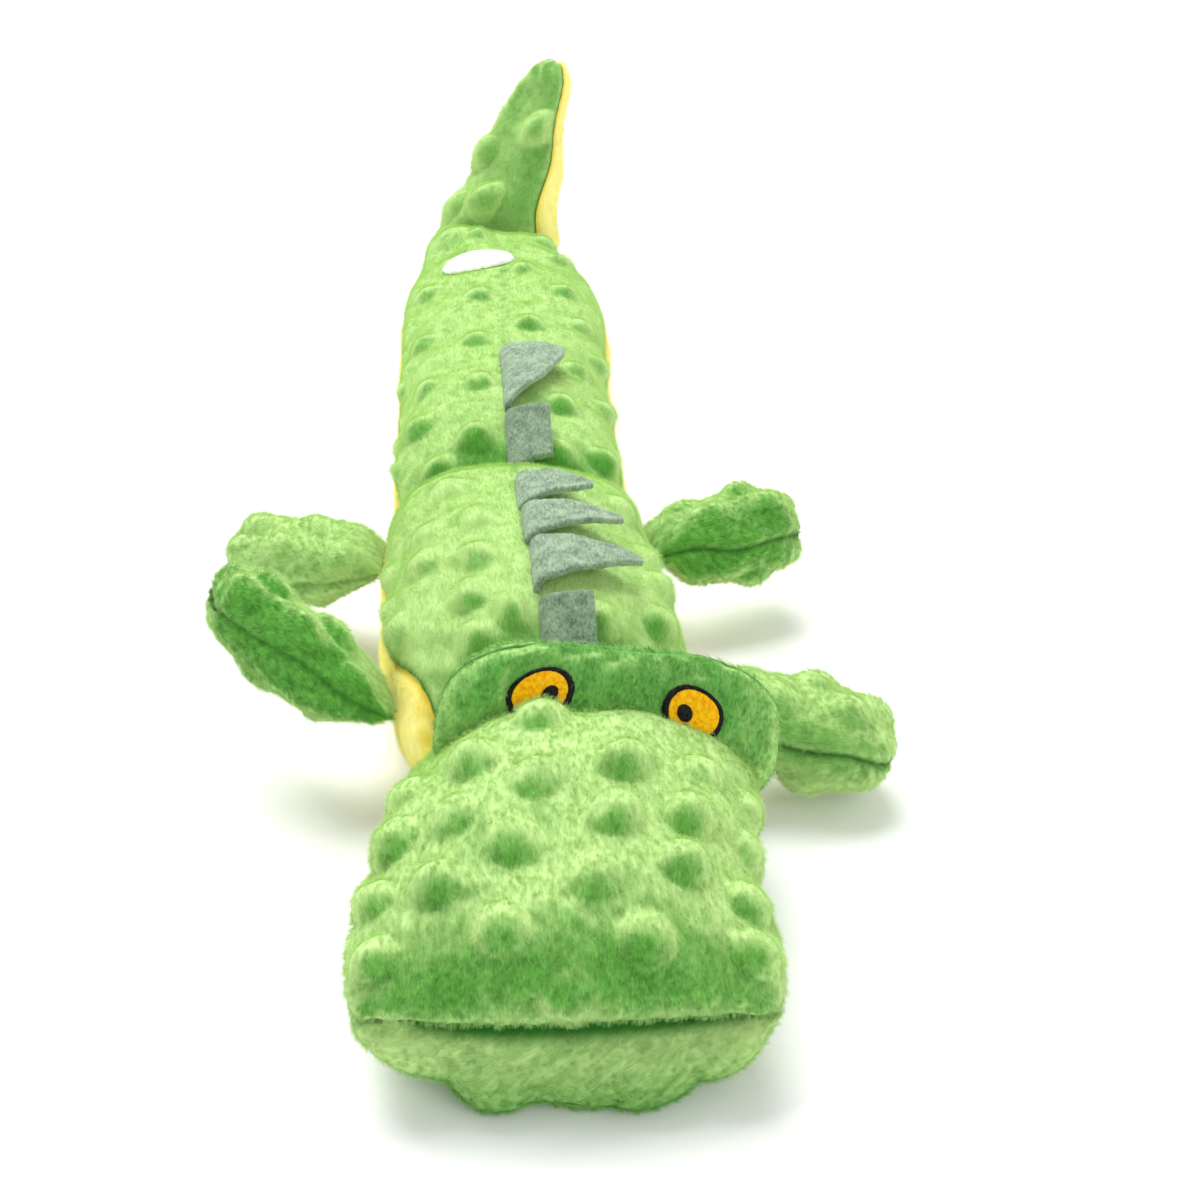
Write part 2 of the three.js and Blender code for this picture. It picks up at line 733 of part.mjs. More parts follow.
function makeHead() {
  const group = new THREE.Group();
  group.position.z = headPlane;
  const top = { ...overTop, liningRound: 7, ...dottedCells };
  const jaw = { ...underneath, liningRound: 5, ...dottedCells };
  const seatPlace = browShareOfHead * headLength;
  const underBrow = (point) => point.y > seatPlace - browFront - browMargin;
  addPiece(group, "snout_panel", panelGeometry(head, top, underBrow), finishes.dottedPlush);
  addPiece(group, "jaw_panel", panelGeometry(head, jaw, layFlat(head)), finishes.dottedPlush);
  addFillingWithSqueaker(group, "head", head, [top, jaw]);

  const pad = new THREE.Group();
  pad.position.set(browOffset, seatPlace, browBaseHeight);
  pad.rotation.set(quarterTurn - radians(browLeanDegrees), radians(browRollDegrees), 0, "YXZ");
  group.add(pad);
  pad.updateMatrixWorld();
  const snout = solidOf(loftGeometry(head, [top, jaw], -seamGap, { cells: top.alongCells, lipRows: 0 }));
  const inPad = snout.transform(pad.matrix.clone().invert().toArray());
  const onSnout = (geometry) => geometryOf(largestBody(solidOf(geometry).subtract(inPad)));
  const front = { ...overTop, liningRound: 5, ...smoothCells };
  const back = { ...underneath, liningRound: 5, ...smoothCells };
  addPiece(pad, "brow_front_panel", onSnout(panelGeometry(brow, front)), finishes.browPlush);
  addPiece(pad, "brow_back_panel", onSnout(panelGeometry(brow, back)), finishes.browPlush);
  addPiece(pad, "brow_filling", onSnout(fillingGeometry(brow, [front, back])), finishes.filling);
  addEye(pad, "left", 1, onSnout);
  addEye(pad, "right", -1, onSnout);
  return group;
}

// A felt fin stands along +Y on a rounded root edge whose middle is the origin.
function finGeometry({ lengthShare, heightShare, tipShare, widthShare }) {
  const length = lengthShare * finShareOfTorso * torsoLength;
  const height = heightShare * finHeight;
  const half = length / 2;
  const tipStart = length * (tipShare - widthShare / 2) - half;
  const tipEnd = length * (tipShare + widthShare / 2) - half;
  const edge = (from, to) => [(from[0] + to[0]) / 2, (from[1] + to[1]) / 2];
  const frontCurve = edge([-half, height * finFrontShare], [tipStart, height * finFrontShare]);
  const backCurve = edge([half, height * finBackShare], [tipEnd, height * finBackShare]);
  const outline = new THREE.Shape();
  outline.moveTo(-half, 0);
  outline.quadraticCurveTo(...frontCurve, tipStart, height);
  outline.lineTo(tipEnd, height);
  outline.quadraticCurveTo(...backCurve, half, 0);
  outline.closePath();
  const sheet = { depth: feltThickness, bevelEnabled: false, curveSegments: wallStepCount };
  const plate = new THREE.ExtrudeGeometry(outline, sheet).translate(0, 0, -feltThickness / 2);
  const axes = [new THREE.Vector3(0, 1, 0), new THREE.Vector3(0, 0, 1), new THREE.Vector3(1, 0, 0)];
  plate.applyMatrix4(new THREE.Matrix4().makeBasis(...axes));
  const root = new THREE.CylinderGeometry(feltThickness / 2, feltThickness / 2, length, finRootFacetCount);
  return geometryOf(solidOf(plate).add(solidOf(root)));
}

// A fin stands on the spine under its middle, pitched with the spine and leaning to the left.
function addFin(group, number, pillow, { place, leanDegrees, ...sizes }) {
  const u = pillow.shareAt(place);
  const { alongs } = pillow.tangents(u, quarterTurn);
  const fin = addPiece(group, `back_fin_${number}`, finGeometry(sizes), finishes.felt);
  fin.position.copy(pillow.raised(u, quarterTurn, finGap + feltThickness / 2));
  fin.rotation.set(Math.atan2(alongs.z, alongs.y), radians(leanDegrees), 0);
}

function addThreePanels(group, name, pillow, bare) {
  const { left, right } = backPanels;
  addPiece(group, `${name}_left_back_panel`, panelGeometry(pillow, left, bare), finishes.dottedPlush);
  addPiece(group, `${name}_right_back_panel`, panelGeometry(pillow, right, bare), finishes.dottedPlush);
  addPiece(group, `${name}_belly_panel`, panelGeometry(pillow, bellyPanel), finishes.bellyPlush);
  return [left, right, bellyPanel];
}

function makeTorso() {
  const group = new THREE.Group();
  group.position.set(0, headLength + foldGap, torsoPlane);
  const panels = addThreePanels(group, "torso", torso);
  addFillingWithSqueaker(group, "torso", torso, panels);
  torsoFins.forEach((fin, index) => addFin(group, index + 1, torso, fin));
  return group;
}

function makeTail() {
  const group = new THREE.Group();
  group.position.set(0, headLength + torsoLength + 2 * foldGap, tailPlane);
  const label = {
    u: tail.shareAt(labelPlaceShare),
    angle: radians(labelDegrees),
    halfAlong: labelHalfLength,
    halfRound: labelHalfWidth,
    height: seamGap,
    thickness: ribbonThickness,
  };
  const labelMiddle = tail.point(label.u, label.angle);
  const underLabel = (point) => point.distanceTo(labelMiddle) < labelHalfWidth + labelMargin;
  const panels = addThreePanels(group, "tail", tail, underLabel);
  addPiece(group, "tail_filling", fillingGeometry(tail, panels), finishes.filling);
  addPiece(group, "tail_label", patchGeometry(tail, label), finishes.ribbon);
  tailFins.forEach((fin, index) => addFin(group, torsoFins.length + index + 1, tail, fin));

  // The tip folds up about the upper edge of the two lips.
  const fold = new THREE.Group();
  const lip = tail.section(1);
  fold.position.set(lip.sideways, tailLength + foldGap / 2, lip.lift + lipHalf);
  fold.rotation.x = radians(tipStandDegrees);
  group.add(fold);
  const end = new THREE.Group();
  end.position.set(0, foldGap / 2, -lipHalf);
  fold.add(end);
  const top = { ...overTop, liningRound: 3, ...dottedCells };
  const bottom = { ...underneath, liningRound: 3, ...dottedCells, dotted: false };
  addPiece(end, "tail_tip_top_panel", panelGeometry(tip, top), finishes.dottedPlush);
  addPiece(end, "tail_tip_belly_panel", panelGeometry(tip, bottom), finishes.bellyPlush);
  addPiece(end, "tail_tip_filling", fillingGeometry(tip, [top, bottom]), finishes.filling);
  return group;
}

// A leg is sewn by its flat lip to the side seam of the torso. Side is 1 on the left.
function makeLeg({ name, side, length, place, raiseDegrees, sweepDegrees }) {
  const sweep = radians(sweepDegrees);
  const leg = new Pillow({
    length: length * Math.cos(sweep),
    halfWidth: legHalfWidth,
    rise: legRise,
    drop: legDrop,
    drift: -side * length * Math.sin(sweep),
    shares: legShares,
    liningRows: 4,
  });
  const group = new THREE.Group();
  const u = torso.shareAt(place);
  const seam = side > 0 ? sideSeam : halfTurn - sideSeam;
  const root = torso.point(u, seam);
  const { alongs } = torso.tangents(u, seam);
  const wall = -Math.atan2(alongs.x, alongs.y);
  group.position.set(root.x + side * legGap, headLength + foldGap + root.y, torsoPlane + root.z);
  group.rotation.set(radians(raiseDegrees), 0, wall - side * quarterTurn, "ZYX");
  const top = { ...overTop, liningRound: 3, ...dottedCells };
  const bottom = { ...underneath, liningRound: 3, ...smoothCells };
  addPiece(group, `${name}_leg_upper_panel`, panelGeometry(leg, top), finishes.dottedPlush);
  addPiece(group, `${name}_leg_lower_panel`, panelGeometry(leg, bottom), finishes.dottedPlush);
  addPiece(group, `${name}_leg_filling`, fillingGeometry(leg, [top, bottom]), finishes.filling);
  return group;
}

const toy = new THREE.Group();
toy.add(makeHead(), makeTorso(), makeTail());
toy.add(...legs.map(makeLeg));

// The origin is on the floor, in the middle of the toy's bounding box.
toy.updateMatrixWorld(true);
const middle = new THREE.Box3().setFromObject(toy, true).getCenter(new THREE.Vector3());
toy.position.set(-middle.x, -middle.y, 0);
toy.updateMatrixWorld(true);

export default toy;
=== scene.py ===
"""Dresses the plush crocodile dog toy: dotted plush, felt fins, stitched eyes and a label."""

import math
from collections import namedtuple

import bpy
import numpy as np
from mathutils import Matrix, Vector


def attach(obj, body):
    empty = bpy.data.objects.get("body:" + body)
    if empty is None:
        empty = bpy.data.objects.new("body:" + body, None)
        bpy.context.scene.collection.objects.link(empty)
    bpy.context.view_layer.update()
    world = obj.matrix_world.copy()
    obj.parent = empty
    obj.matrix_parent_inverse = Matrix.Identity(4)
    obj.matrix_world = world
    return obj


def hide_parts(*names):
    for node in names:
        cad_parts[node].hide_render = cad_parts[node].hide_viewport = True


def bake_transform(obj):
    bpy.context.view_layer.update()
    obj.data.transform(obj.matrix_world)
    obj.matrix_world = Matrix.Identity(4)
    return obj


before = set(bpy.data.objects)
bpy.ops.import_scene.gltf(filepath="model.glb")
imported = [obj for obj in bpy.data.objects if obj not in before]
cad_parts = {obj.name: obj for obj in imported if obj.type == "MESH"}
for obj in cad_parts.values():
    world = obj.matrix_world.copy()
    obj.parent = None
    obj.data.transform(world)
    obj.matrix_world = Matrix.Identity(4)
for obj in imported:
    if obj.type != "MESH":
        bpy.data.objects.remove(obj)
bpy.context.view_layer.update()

MM = 0.001

# The toy's own frame has its nose at the origin. This moves it to the middle of the bounding box.
TOY_SHIFT = (1.6714, -256.0678, 0.0)

# Camera, in the toy's frame
CAMERA_PLACE = (-23.9, -320.1, 312.0)
CAMERA_HEADING = (0.0807, 0.9967)
CAMERA_PITCH_DEGREES = 29.9
LENS_MM = 60
SENSOR_MM = 36

# Sewn sections, in millimetres, as in the frame. A leg's length is in its row further down.
Size = namedtuple("Size", "length half_width rise drop")
HEAD = Size(97, 46, 31, 22)
BROW = Size(36, 42.5, 7.5, 7)
TORSO = Size(124, 40, 36.5, 24)
TAIL = Size(253, 37.5, 28, 20)
TIP = Size(81, 24, 9, 13)
LEG = Size(54, 15.5, 11.5, 11)
LIP_HALF = 1.1
FLAT_CUT = 0.5
FOLD_GAP = 0.7
SQUARENESS = 2.3
SIDE_SEAM_DEGREES = 6
LIP_FADE_SHARE = 0.16
TIP_TWIST_SHARE = 0.4
BODY_SWAY = 8
BROW_PLACE = (9, 0.85 * HEAD.length, 7)
BROW_TURN_DEGREES = 8
BROW_TILT_DEGREES = 84
TAIL_END_SINK = 2.5
TIP_DRIFT = 28
TIP_TWIST_DEGREES = 34
TIP_STAND_DEGREES = 68
LEG_GAP = 1.0

# Each row: place along the length, half width, rise, drop and drift, as shares
HEAD_SHARES = (
    (0.012, 0.84, 0, 0, -0.55),
    (0, 0.93, 0.14, 0.28, -0.55),
    (0.006, 0.975, 0.32, 0.6, -0.55),
    (0.035, 1, 0.5, 0.86, -0.55),
    (0.09, 1, 0.67, 0.97, -0.55),
    (0.2, 0.98, 0.83, 1, -0.55),
    (0.4, 0.95, 0.96, 1, -0.45),
    (0.62, 0.94, 1, 1, 0),
    (0.78, 0.93, 0.94, 0.98, 0.55),
    (0.91, 0.9, 0.6, 0.72, 0.45),
    (1, 0.84, 0, 0, 0),
)
BROW_SHARES = (
    (0, 0.96, 0, 0, 0),
    (0.15, 1, 0.7, 0.7, 0),
    (0.42, 1, 1, 1, 0),
    (0.68, 0.95, 0.92, 0.92, 0),
    (0.88, 0.78, 0.55, 0.55, 0),
    (1, 0.5, 0, 0, 0),
)
TORSO_SHARES = (
    (0, 0.84, 0, 0, 0),
    (0.06, 0.92, 0.42, 0.5, -0.15),
    (0.15, 0.96, 0.76, 0.86, -0.35),
    (0.27, 1, 0.95, 1, -0.45),
    (0.42, 1, 1, 1, -0.6),
    (0.62, 0.98, 0.97, 1, -0.75),
    (0.8, 0.97, 0.93, 1, -0.8),
    (0.9, 0.95, 0.8, 0.9, -0.8),
    (0.955, 0.93, 0.5, 0.6, -0.8),
    (1, 0.88, 0, 0, -0.8),
)
TAIL_SHARES = (
    (0, 0.88, 0, 0, -0.8),
    (0.04, 0.93, 0.42, 0.5, -0.8),
    (0.1, 0.96, 0.84, 0.9, -0.8),
    (0.18, 0.97, 1, 1, -0.8),
    (0.38, 0.97, 0.94, 1, -0.7),
    (0.58, 1.01, 0.88, 1, -0.45),
    (0.7, 1.01, 0.82, 1, -0.35),
    (0.85, 0.84, 0.7, 0.94, -0.45),
    (0.94, 0.7, 0.52, 0.72, -0.6),
    (1, 0.6, 0, 0, -0.75),
)
TIP_SHARES = (
    (0, 1, 0, 0, 0),
    (0.08, 1, 0.6, 0.6, 0.02),
    (0.22, 0.95, 1, 1, 0.1),
    (0.45, 0.76, 0.92, 0.92, 0.34),
    (0.7, 0.54, 0.72, 0.72, 0.66),
    (0.9, 0.34, 0.46, 0.46, 0.92),
    (0.98, 0.2, 0.2, 0.2, 1),
    (1, 0.1, 0, 0, 1),
)
LEG_SHARES = (
    (0, 0.7, 0, 0, 0),
    (0.12, 0.78, 0.5, 0.5, 0.02),
    (0.3, 0.86, 0.82, 0.82, 0.14),
    (0.52, 0.97, 0.98, 0.98, 0.4),
    (0.72, 1, 1, 1, 0.7),
    (0.88, 0.88, 0.8, 0.8, 0.92),
    (0.97, 0.62, 0.42, 0.42, 1),
    (1, 0.4, 0, 0, 1),
)

# Raised dots of the plush
DOT_HEIGHT = 4.0
DOT_RADIUS = 6.8

# Painted velvet shade: surfaces that face this way, towards the camera, get the colours painted in
# shade
NAP = (-0.07, -0.864, 0.498)
NAP_RANGE = (0.6, 1.06)

# How deep stitched patches press into the skin
PRESSED = -0.3

# Dots of each panel: how far along the cloth from its front seam, how far across from its middle,
# and how high as a share
SNOUT_DOTS = (
    (90, 9, 0.9), (76, 22, 1), (66, 6.5, 0.75), (70, -13, 1), (75, -31, 0.8), (58, 24, 0.55),
    (48, 10, 0.65), (54, -12, 0.9), (57, -29, 0.9), (39, 28, 0.9), (37, -7, 0.45), (42, -27, 1),
    (25, 13.5, 0.7), (22, -17, 0.6), (9.5, 0, 0.45), (77, 39, 0.8), (59, 39, 0.8), (42, 44, 0.8),
    (23, 43, 0.9), (37, -43, 0.8), (22, -42, 0.8), (57, -47, 0.8), (76, -48, 0.8), (60, 57, 0.8),
)
JAW_DOTS = (
    (13.5, -18.5, 0.5), (13.5, 19, 0.55), (10, -36, 0.6), (10, 36, 0.6), (24, 2, 0.5),
    (31, -30, 0.9), (31, 10, 0.9), (33, 40, 0.9), (48, -14, 0.9), (48, 26, 0.9), (64, -30, 0.9),
    (65, 8, 0.9), (66, 42, 0.9),
)
TORSO_DOTS = (
    (84.5, 12, 0.65), (88.5, 28, 0.7), (65, 14.7, 0.7), (72, 29.7, 0.7), (50, 18.3, 0.95),
    (40.5, 6.7, 0.9), (34, 17.6, 0.9), (37, -14.4, 1.1), (62, -36.7, 1), (43, -33.5, 1.1),
    (84, -40, 0.8), (103, -31, 0.8), (52, 42, 0.8), (70, 48, 0.8), (90, 46, 0.8), (110, 20, 0.7),
    (27, -46, 0.8),
)
TAIL_DOTS = (
    (34, 10.7, 1.05), (23.6, 22.6, 1.05), (26, -14.7, 0.8), (29, -30.7, 1.0), (56, -18.5, 0.85),
    (52, 30, 0.75), (81, 27.7, 0.75), (70, 8, 0.65), (91, -26, 0.8), (72, -38, 0.85),
    (111, 9, 0.7), (125, -9.8, 0.75), (112, -38, 0.85), (137, -30, 0.75), (126, 29.6, 0.7),
    (106, 44, 0.85), (60, 46, 0.95), (40, 44, 0.95), (84, 48, 0.85), (46, -46, 0.95),
    (94, -48, 0.85), (156.5, 7.9, 0.7), (165, -24, 0.7), (186, -8, 0.7), (178, 30, 0.65),
    (212, -26, 0.65), (236, 4, 0.75), (238, -22, 0.65),
)
TIP_DOTS = ((26, -2, 1.5), (58, -11, 1.3), (49, 13, 1.1), (25, 17, 0.8))
LEG_DOTS = ((14, 10, 0.6), (22, -4, 0.7), (34, 9, 0.8), (42, -5, 0.8), (52, 4, 0.6))


# Curves and sections

TINY_STEP = 1e-3


def grow(value, low, high):
    """A smooth step from 0 at the low value to 1 at the high one."""
    share = np.clip((np.asarray(value, float) - low) / (high - low), 0, 1)
    return share * share * (3 - 2 * share)


def shrink(value, low, high):
    """A smooth step from 1 at the low value to 0 at the high one."""
    return 1 - grow(value, low, high)


def bell(distance, reach):
    """1 at no distance, and near 0 at twice the reach."""
    return np.exp(-((distance / reach) ** 2))


def catmull_rom(points, t):
    """Points at shares t along a centripetal Catmull-Rom curve."""
    p = np.asarray(points, float)
    p = np.vstack([2 * p[0] - p[1], p, 2 * p[-1] - p[-2]])
    steps = np.linalg.norm(np.diff(p, axis=0), axis=1) ** 0.5
    place = np.clip(t, 0, 1) * (len(points) - 1)
    k = np.minimum(place.astype(int), len(points) - 2)
    w = (place - k)[:, None]
    d0, d1, d2 = (steps[k + i][:, None] for i in range(3))
    x0, x1, x2, x3 = (p[k + i] for i in range(4))
    m1 = ((x1 - x0) / d0 - (x2 - x0) / (d0 + d1) + (x2 - x1) / d1) * d1
    m2 = ((x2 - x1) / d1 - (x3 - x1) / (d1 + d2) + (x3 - x2) / d2) * d1
    square = -3 * x1 + 3 * x2 - 2 * m1 - m2
    cube = 2 * x1 - 2 * x2 + m1 + m2
    return x1 + m1 * w + square * w**2 + cube * w**3


class Pillow:
    """A stuffed section along +Y from its first sewn lip, with its rise towards +Z."""

    def __init__(self, shares, size, **bends):
        self.length, self.half_width = size.length, size.half_width
        self.bends = {"drift": 0, "twist": 0, "front_lift": 0, "rear_lift": 0, **bends}
        rows = np.array(shares, float)
        rise, drop = (
            LIP_HALF + share * (height - LIP_HALF)
            for share, height in ((rows[:, 2], size.rise), (rows[:, 3], size.drop))
        )
        self.upper = np.c_[rows[:, 0] * size.length, rows[:, 1] * size.half_width, rise]
        self.lower = np.c_[drop, rows[:, 4] * self.bends["drift"]]

    def places(self, step):
        """Curve places about a step apart along the upper profile."""
        fine = np.linspace(0, 1, 2001)
        path = catmull_rom(self.upper, fine)
        arc = np.r_[0, np.cumsum(np.linalg.norm(np.diff(path, axis=0), axis=1))]
        return np.interp(np.linspace(0, arc[-1], round(arc[-1] / step) + 1), arc, fine)

    def at_length(self, place):
        """The curve place at a share of the length."""
        fine = np.linspace(0.2, 1, 4001)
        return float(np.interp(place * self.length, catmull_rom(self.upper, fine)[:, 0], fine))

    def points(self, t, angle):
        along, half_width, rise = catmull_rom(self.upper, t).T
        drop, sideways = catmull_rom(self.lower, t).T
        place = along / self.length
        lift = self.bends["front_lift"] * shrink(place, 0, LIP_FADE_SHARE)
        lift = lift + self.bends["rear_lift"] * grow(place, 1 - LIP_FADE_SHARE, 1)
        cos, sin = np.cos(angle), np.sin(angle)

        def curve(value):
            return np.sign(value) * np.abs(value) ** (2 / SQUARENESS)

        across = half_width[:, None] * curve(cos)
        height = np.where(sin > 0, rise[:, None], drop[:, None]) * curve(sin)
        turn = (self.bends["twist"] * grow(t, 0, TIP_TWIST_SHARE))[:, None]
        x = across * np.cos(turn) - height * np.sin(turn) + sideways[:, None]
        z = across * np.sin(turn) + height * np.cos(turn) + lift[:, None]
        return np.stack([x, np.broadcast_to(along[:, None], x.shape), z], -1)

    def ways(self, t, angle):
        """A point, and the short ways from it along and round the section."""
        place, ahead = self.points(np.array([t, t + TINY_STEP]), np.full((2, 1), angle))[:, 0]
        beside = self.points(np.array([t]), np.array([[angle + TINY_STEP]]))[0, 0]
        return place, ahead - place, beside - place

    def point(self, t, degrees):
        """One point, with its directions along and out of the section."""
        place, along, round_it = self.ways(t, math.radians(degrees))
        out = np.cross(along, round_it)
        return place, along / np.linalg.norm(along), out / np.linalg.norm(out)


def waves(points, wavelength, seed, count=28):
    """Smooth noise of about unit size: a sum of waves in seeded directions."""
    rng = np.random.default_rng(seed)
    directions = rng.normal(size=(count, 3))
    directions /= np.linalg.norm(directions, axis=1, keepdims=True)
    lengths = wavelength * rng.uniform(0.7, 1.5, count)
    phases = rng.uniform(0, math.tau, count)
    total = np.zeros(points.shape[:-1])
    for direction, length, phase in zip(directions, lengths, phases):
        total += np.sin(points @ direction * (math.tau / length) + phase)
    return total * math.sqrt(2 / count)


# Frames of the sections, in the toy's frame


def turned(order, degrees, place):
    """A frame from turns about the named axes, the last named applied first, and a place."""
    turn = Matrix.Identity(3)
    for axis, angle in zip(order, degrees):
        turn = turn @ Matrix.Rotation(math.radians(angle), 3, axis)
    return Matrix.LocRotScale(Vector(place), turn.to_quaternion(), None)


def to_row(points, placement):
    """Millimetres in a section's frame to metres in the row frame."""
    m = np.array(placement)
    return (points @ m[:3, :3].T + m[:3, 3] + np.array(TOY_SHIFT)) * MM


head_plane, torso_plane, tail_plane = (size.drop - FLAT_CUT for size in (HEAD, TORSO, TAIL))

head = Pillow(HEAD_SHARES, HEAD, drift=BODY_SWAY, rear_lift=torso_plane - head_plane)
brow = Pillow(BROW_SHARES, BROW)
torso = Pillow(TORSO_SHARES, TORSO, drift=BODY_SWAY)
tail_lifts = {"front_lift": torso_plane - tail_plane, "rear_lift": -TAIL_END_SINK}
tail = Pillow(TAIL_SHARES, TAIL, drift=BODY_SWAY, **tail_lifts)
tip = Pillow(TIP_SHARES, TIP, drift=TIP_DRIFT, twist=math.radians(TIP_TWIST_DEGREES))

head_frame = turned("", (), (0, 0, head_plane))
torso_frame = turned("", (), (0, HEAD.length + FOLD_GAP, torso_plane))
tail_frame = turned("", (), (0, HEAD.length + TORSO.length + 2 * FOLD_GAP, tail_plane))
brow_frame = head_frame @ turned("YX", (BROW_TURN_DEGREES, BROW_TILT_DEGREES), BROW_PLACE)
tail_end = tail.points(np.array([1.0]), np.array([[0.0, math.pi]]))[0]
tail_end_middle = (tail_end[0, 0] + tail_end[1, 0]) / 2
fold_place = (tail_end_middle, TAIL.length + FOLD_GAP / 2, LIP_HALF - TAIL_END_SINK)
tip_frame = (
    tail_frame
    @ turned("X", (TIP_STAND_DEGREES,), fold_place)
    @ turned("", (), (0, FOLD_GAP / 2, -LIP_HALF))
)

# Each row: name, side, length, place along the torso, raise, sweep, bend of the paw,
# how far up its front seam lies in degrees, how marked that seam is, and where its pile is painted
# in shade
LEGS = (
    ("front_left_leg", 1, 54, 0.16, -16, -2, 1, 8, 0.9, (0.46, 1.3)),
    ("front_right_leg", -1, 54, 0.22, 20, 31, 4.5, 10, 0.55, (0.14, 0.78)),
    ("rear_left_leg", 1, 48, 0.86, 2, 10, -3.5, 18, 0.8, (0.22, 0.95)),
    ("rear_right_leg", -1, 48, 0.84, 0, 14, -5.5, -6, 0.5, (0.52, 1.4)),
)


def leg_pillow(side, length, sweep_degrees):
    sweep = math.radians(sweep_degrees)
    size = LEG._replace(length=length * math.cos(sweep))
    return Pillow(LEG_SHARES, size, drift=-side * length * math.sin(sweep))


def leg_frame(side, place, raise_degrees):
    """The frame of a leg, whose root lies just off the torso's side seam."""
    seam = SIDE_SEAM_DEGREES if side > 0 else 180 - SIDE_SEAM_DEGREES
    root, along, _ = torso.point(torso.at_length(place), seam)
    wall = -math.degrees(math.atan2(along[0], along[1]))
    root_place = (root[0] + side * LEG_GAP, root[1], root[2])
    return torso_frame @ turned("ZX", (wall - side * 90, raise_degrees), root_place)


# Meshes


def linked(name, data):
    """A new object in the scene."""
    thing = bpy.data.objects.new(name, data)
    bpy.context.scene.collection.objects.link(thing)
    return thing


def ring_faces(rows, columns, loop):
    """Faces between rings of points. The rings make a loop, or the end ones close in pairs."""
    corner = np.arange(rows * columns).reshape(rows, columns)
    if loop:
        corner = np.vstack([corner, corner[:1]])
    beside = np.roll(corner, -1, axis=1)
    quads = np.stack([corner[:-1], corner[1:], beside[1:], beside[:-1]], -1)
    faces = quads.reshape(-1, 4).tolist()
    for row, flip in () if loop else ((corner[0], True), (corner[-1], False)):
        left, right = 0, columns - 1
        while right - left >= 2:
            face = [row[left], row[right], row[right - 1], row[left + 1]]
            face = face if right - left > 2 else face[:2] + face[3:]
            faces.append([int(v) for v in (face[::-1] if flip else face)])
            left, right = left + 1, right - 1
    return faces


def ringed_piece(name, place, loop=False):
    """A closed and smooth piece from rings of points."""
    mesh = bpy.data.meshes.new(name)
    mesh.from_pydata(place.reshape(-1, 3).tolist(), [], ring_faces(*place.shape[:2], loop))
    mesh.validate()
    mesh.polygons.foreach_set("use_smooth", np.ones(len(mesh.polygons), bool))
    return linked(name, mesh)


def read_all(items, key, kind=int):
    """One value of each item, such as the area of each face."""
    values = np.zeros(len(items), kind)
    items.foreach_get(key, values)
    return values


# Skins

# How far a seam's groove, line, painted shade and puckers reach to its sides
GROOVE_REACH = 1.6
LINE_REACH = 0.9
FLATTENED_REACH = 2.2
PUCKER_REACH = 5

# From one fold, pucker or gather to the next
FOLD_PITCH = 9.5
PUCKER_PITCH = 7.5
GATHER_PITCH = 8.5
GATHER_HEIGHT = 0.5

# How strong the painted shade beside the seams and in their lines is, and how bare the pile is in a
# seam's line
PRESSED_DEEP = 0.95
BARE_IN_LINE = 0.85

# The look of a section where it says nothing else
USUAL_LOOK = {
    "shape": lambda points: points,  # moves the pillow's points before the cloth is laid on
    "dot_height": DOT_HEIGHT,
    "swell": (0, 0, 1),  # the first panel's swelling, and from where to where it grows
    "folds": 0,
    "lumps": 0.1,
    "nubs": 0.05,
    "seam_depth": 1.6,
    "sink": 0,  # how far the front lip is drawn in
    "bare": (),  # patches without pile: place along and across, half length and half width
    "stands": False,
    "lip_line": 0,  # how dark the front seam's line is, with painted shade beside it
    "dark_lips": 1.0,  # how dark the closed ends are, painted as shade inside the seams
    "pressed": 1.0,  # how much painted shade lies beside the seams
    "tufts": (1.0, 0.5, 0.6),  # density, clumping and radius
}


def edge_of(seam, places):
    return seam(places) if callable(seam) else seam


def panel_columns(pillow, t, start, stop, step):
    """Angles of the columns across a panel, evenly spaced along the cloth in each row."""
    places = catmull_rom(pillow.upper, t)[:, 0]
    start, stop = (np.broadcast_to(edge_of(edge, places), t.shape) for edge in (start, stop))
    fine = np.radians(start[:, None] + (stop - start)[:, None] * np.linspace(0, 1, 241))
    arc = lengths_along(pillow.points(t, fine), 1)
    count = round(arc[:, -1].max() / step)
    shares = np.linspace(0, 1, count, endpoint=False)
    return np.array([np.interp(shares * row[-1], row, angles) for row, angles in zip(arc, fine)])


def lengths_along(points, axis):
    steps = np.linalg.norm(np.diff(points, axis=axis), axis=2)
    start = np.zeros_like(steps.take([0], axis))
    return np.concatenate([start, np.cumsum(steps, axis=axis)], axis=axis)


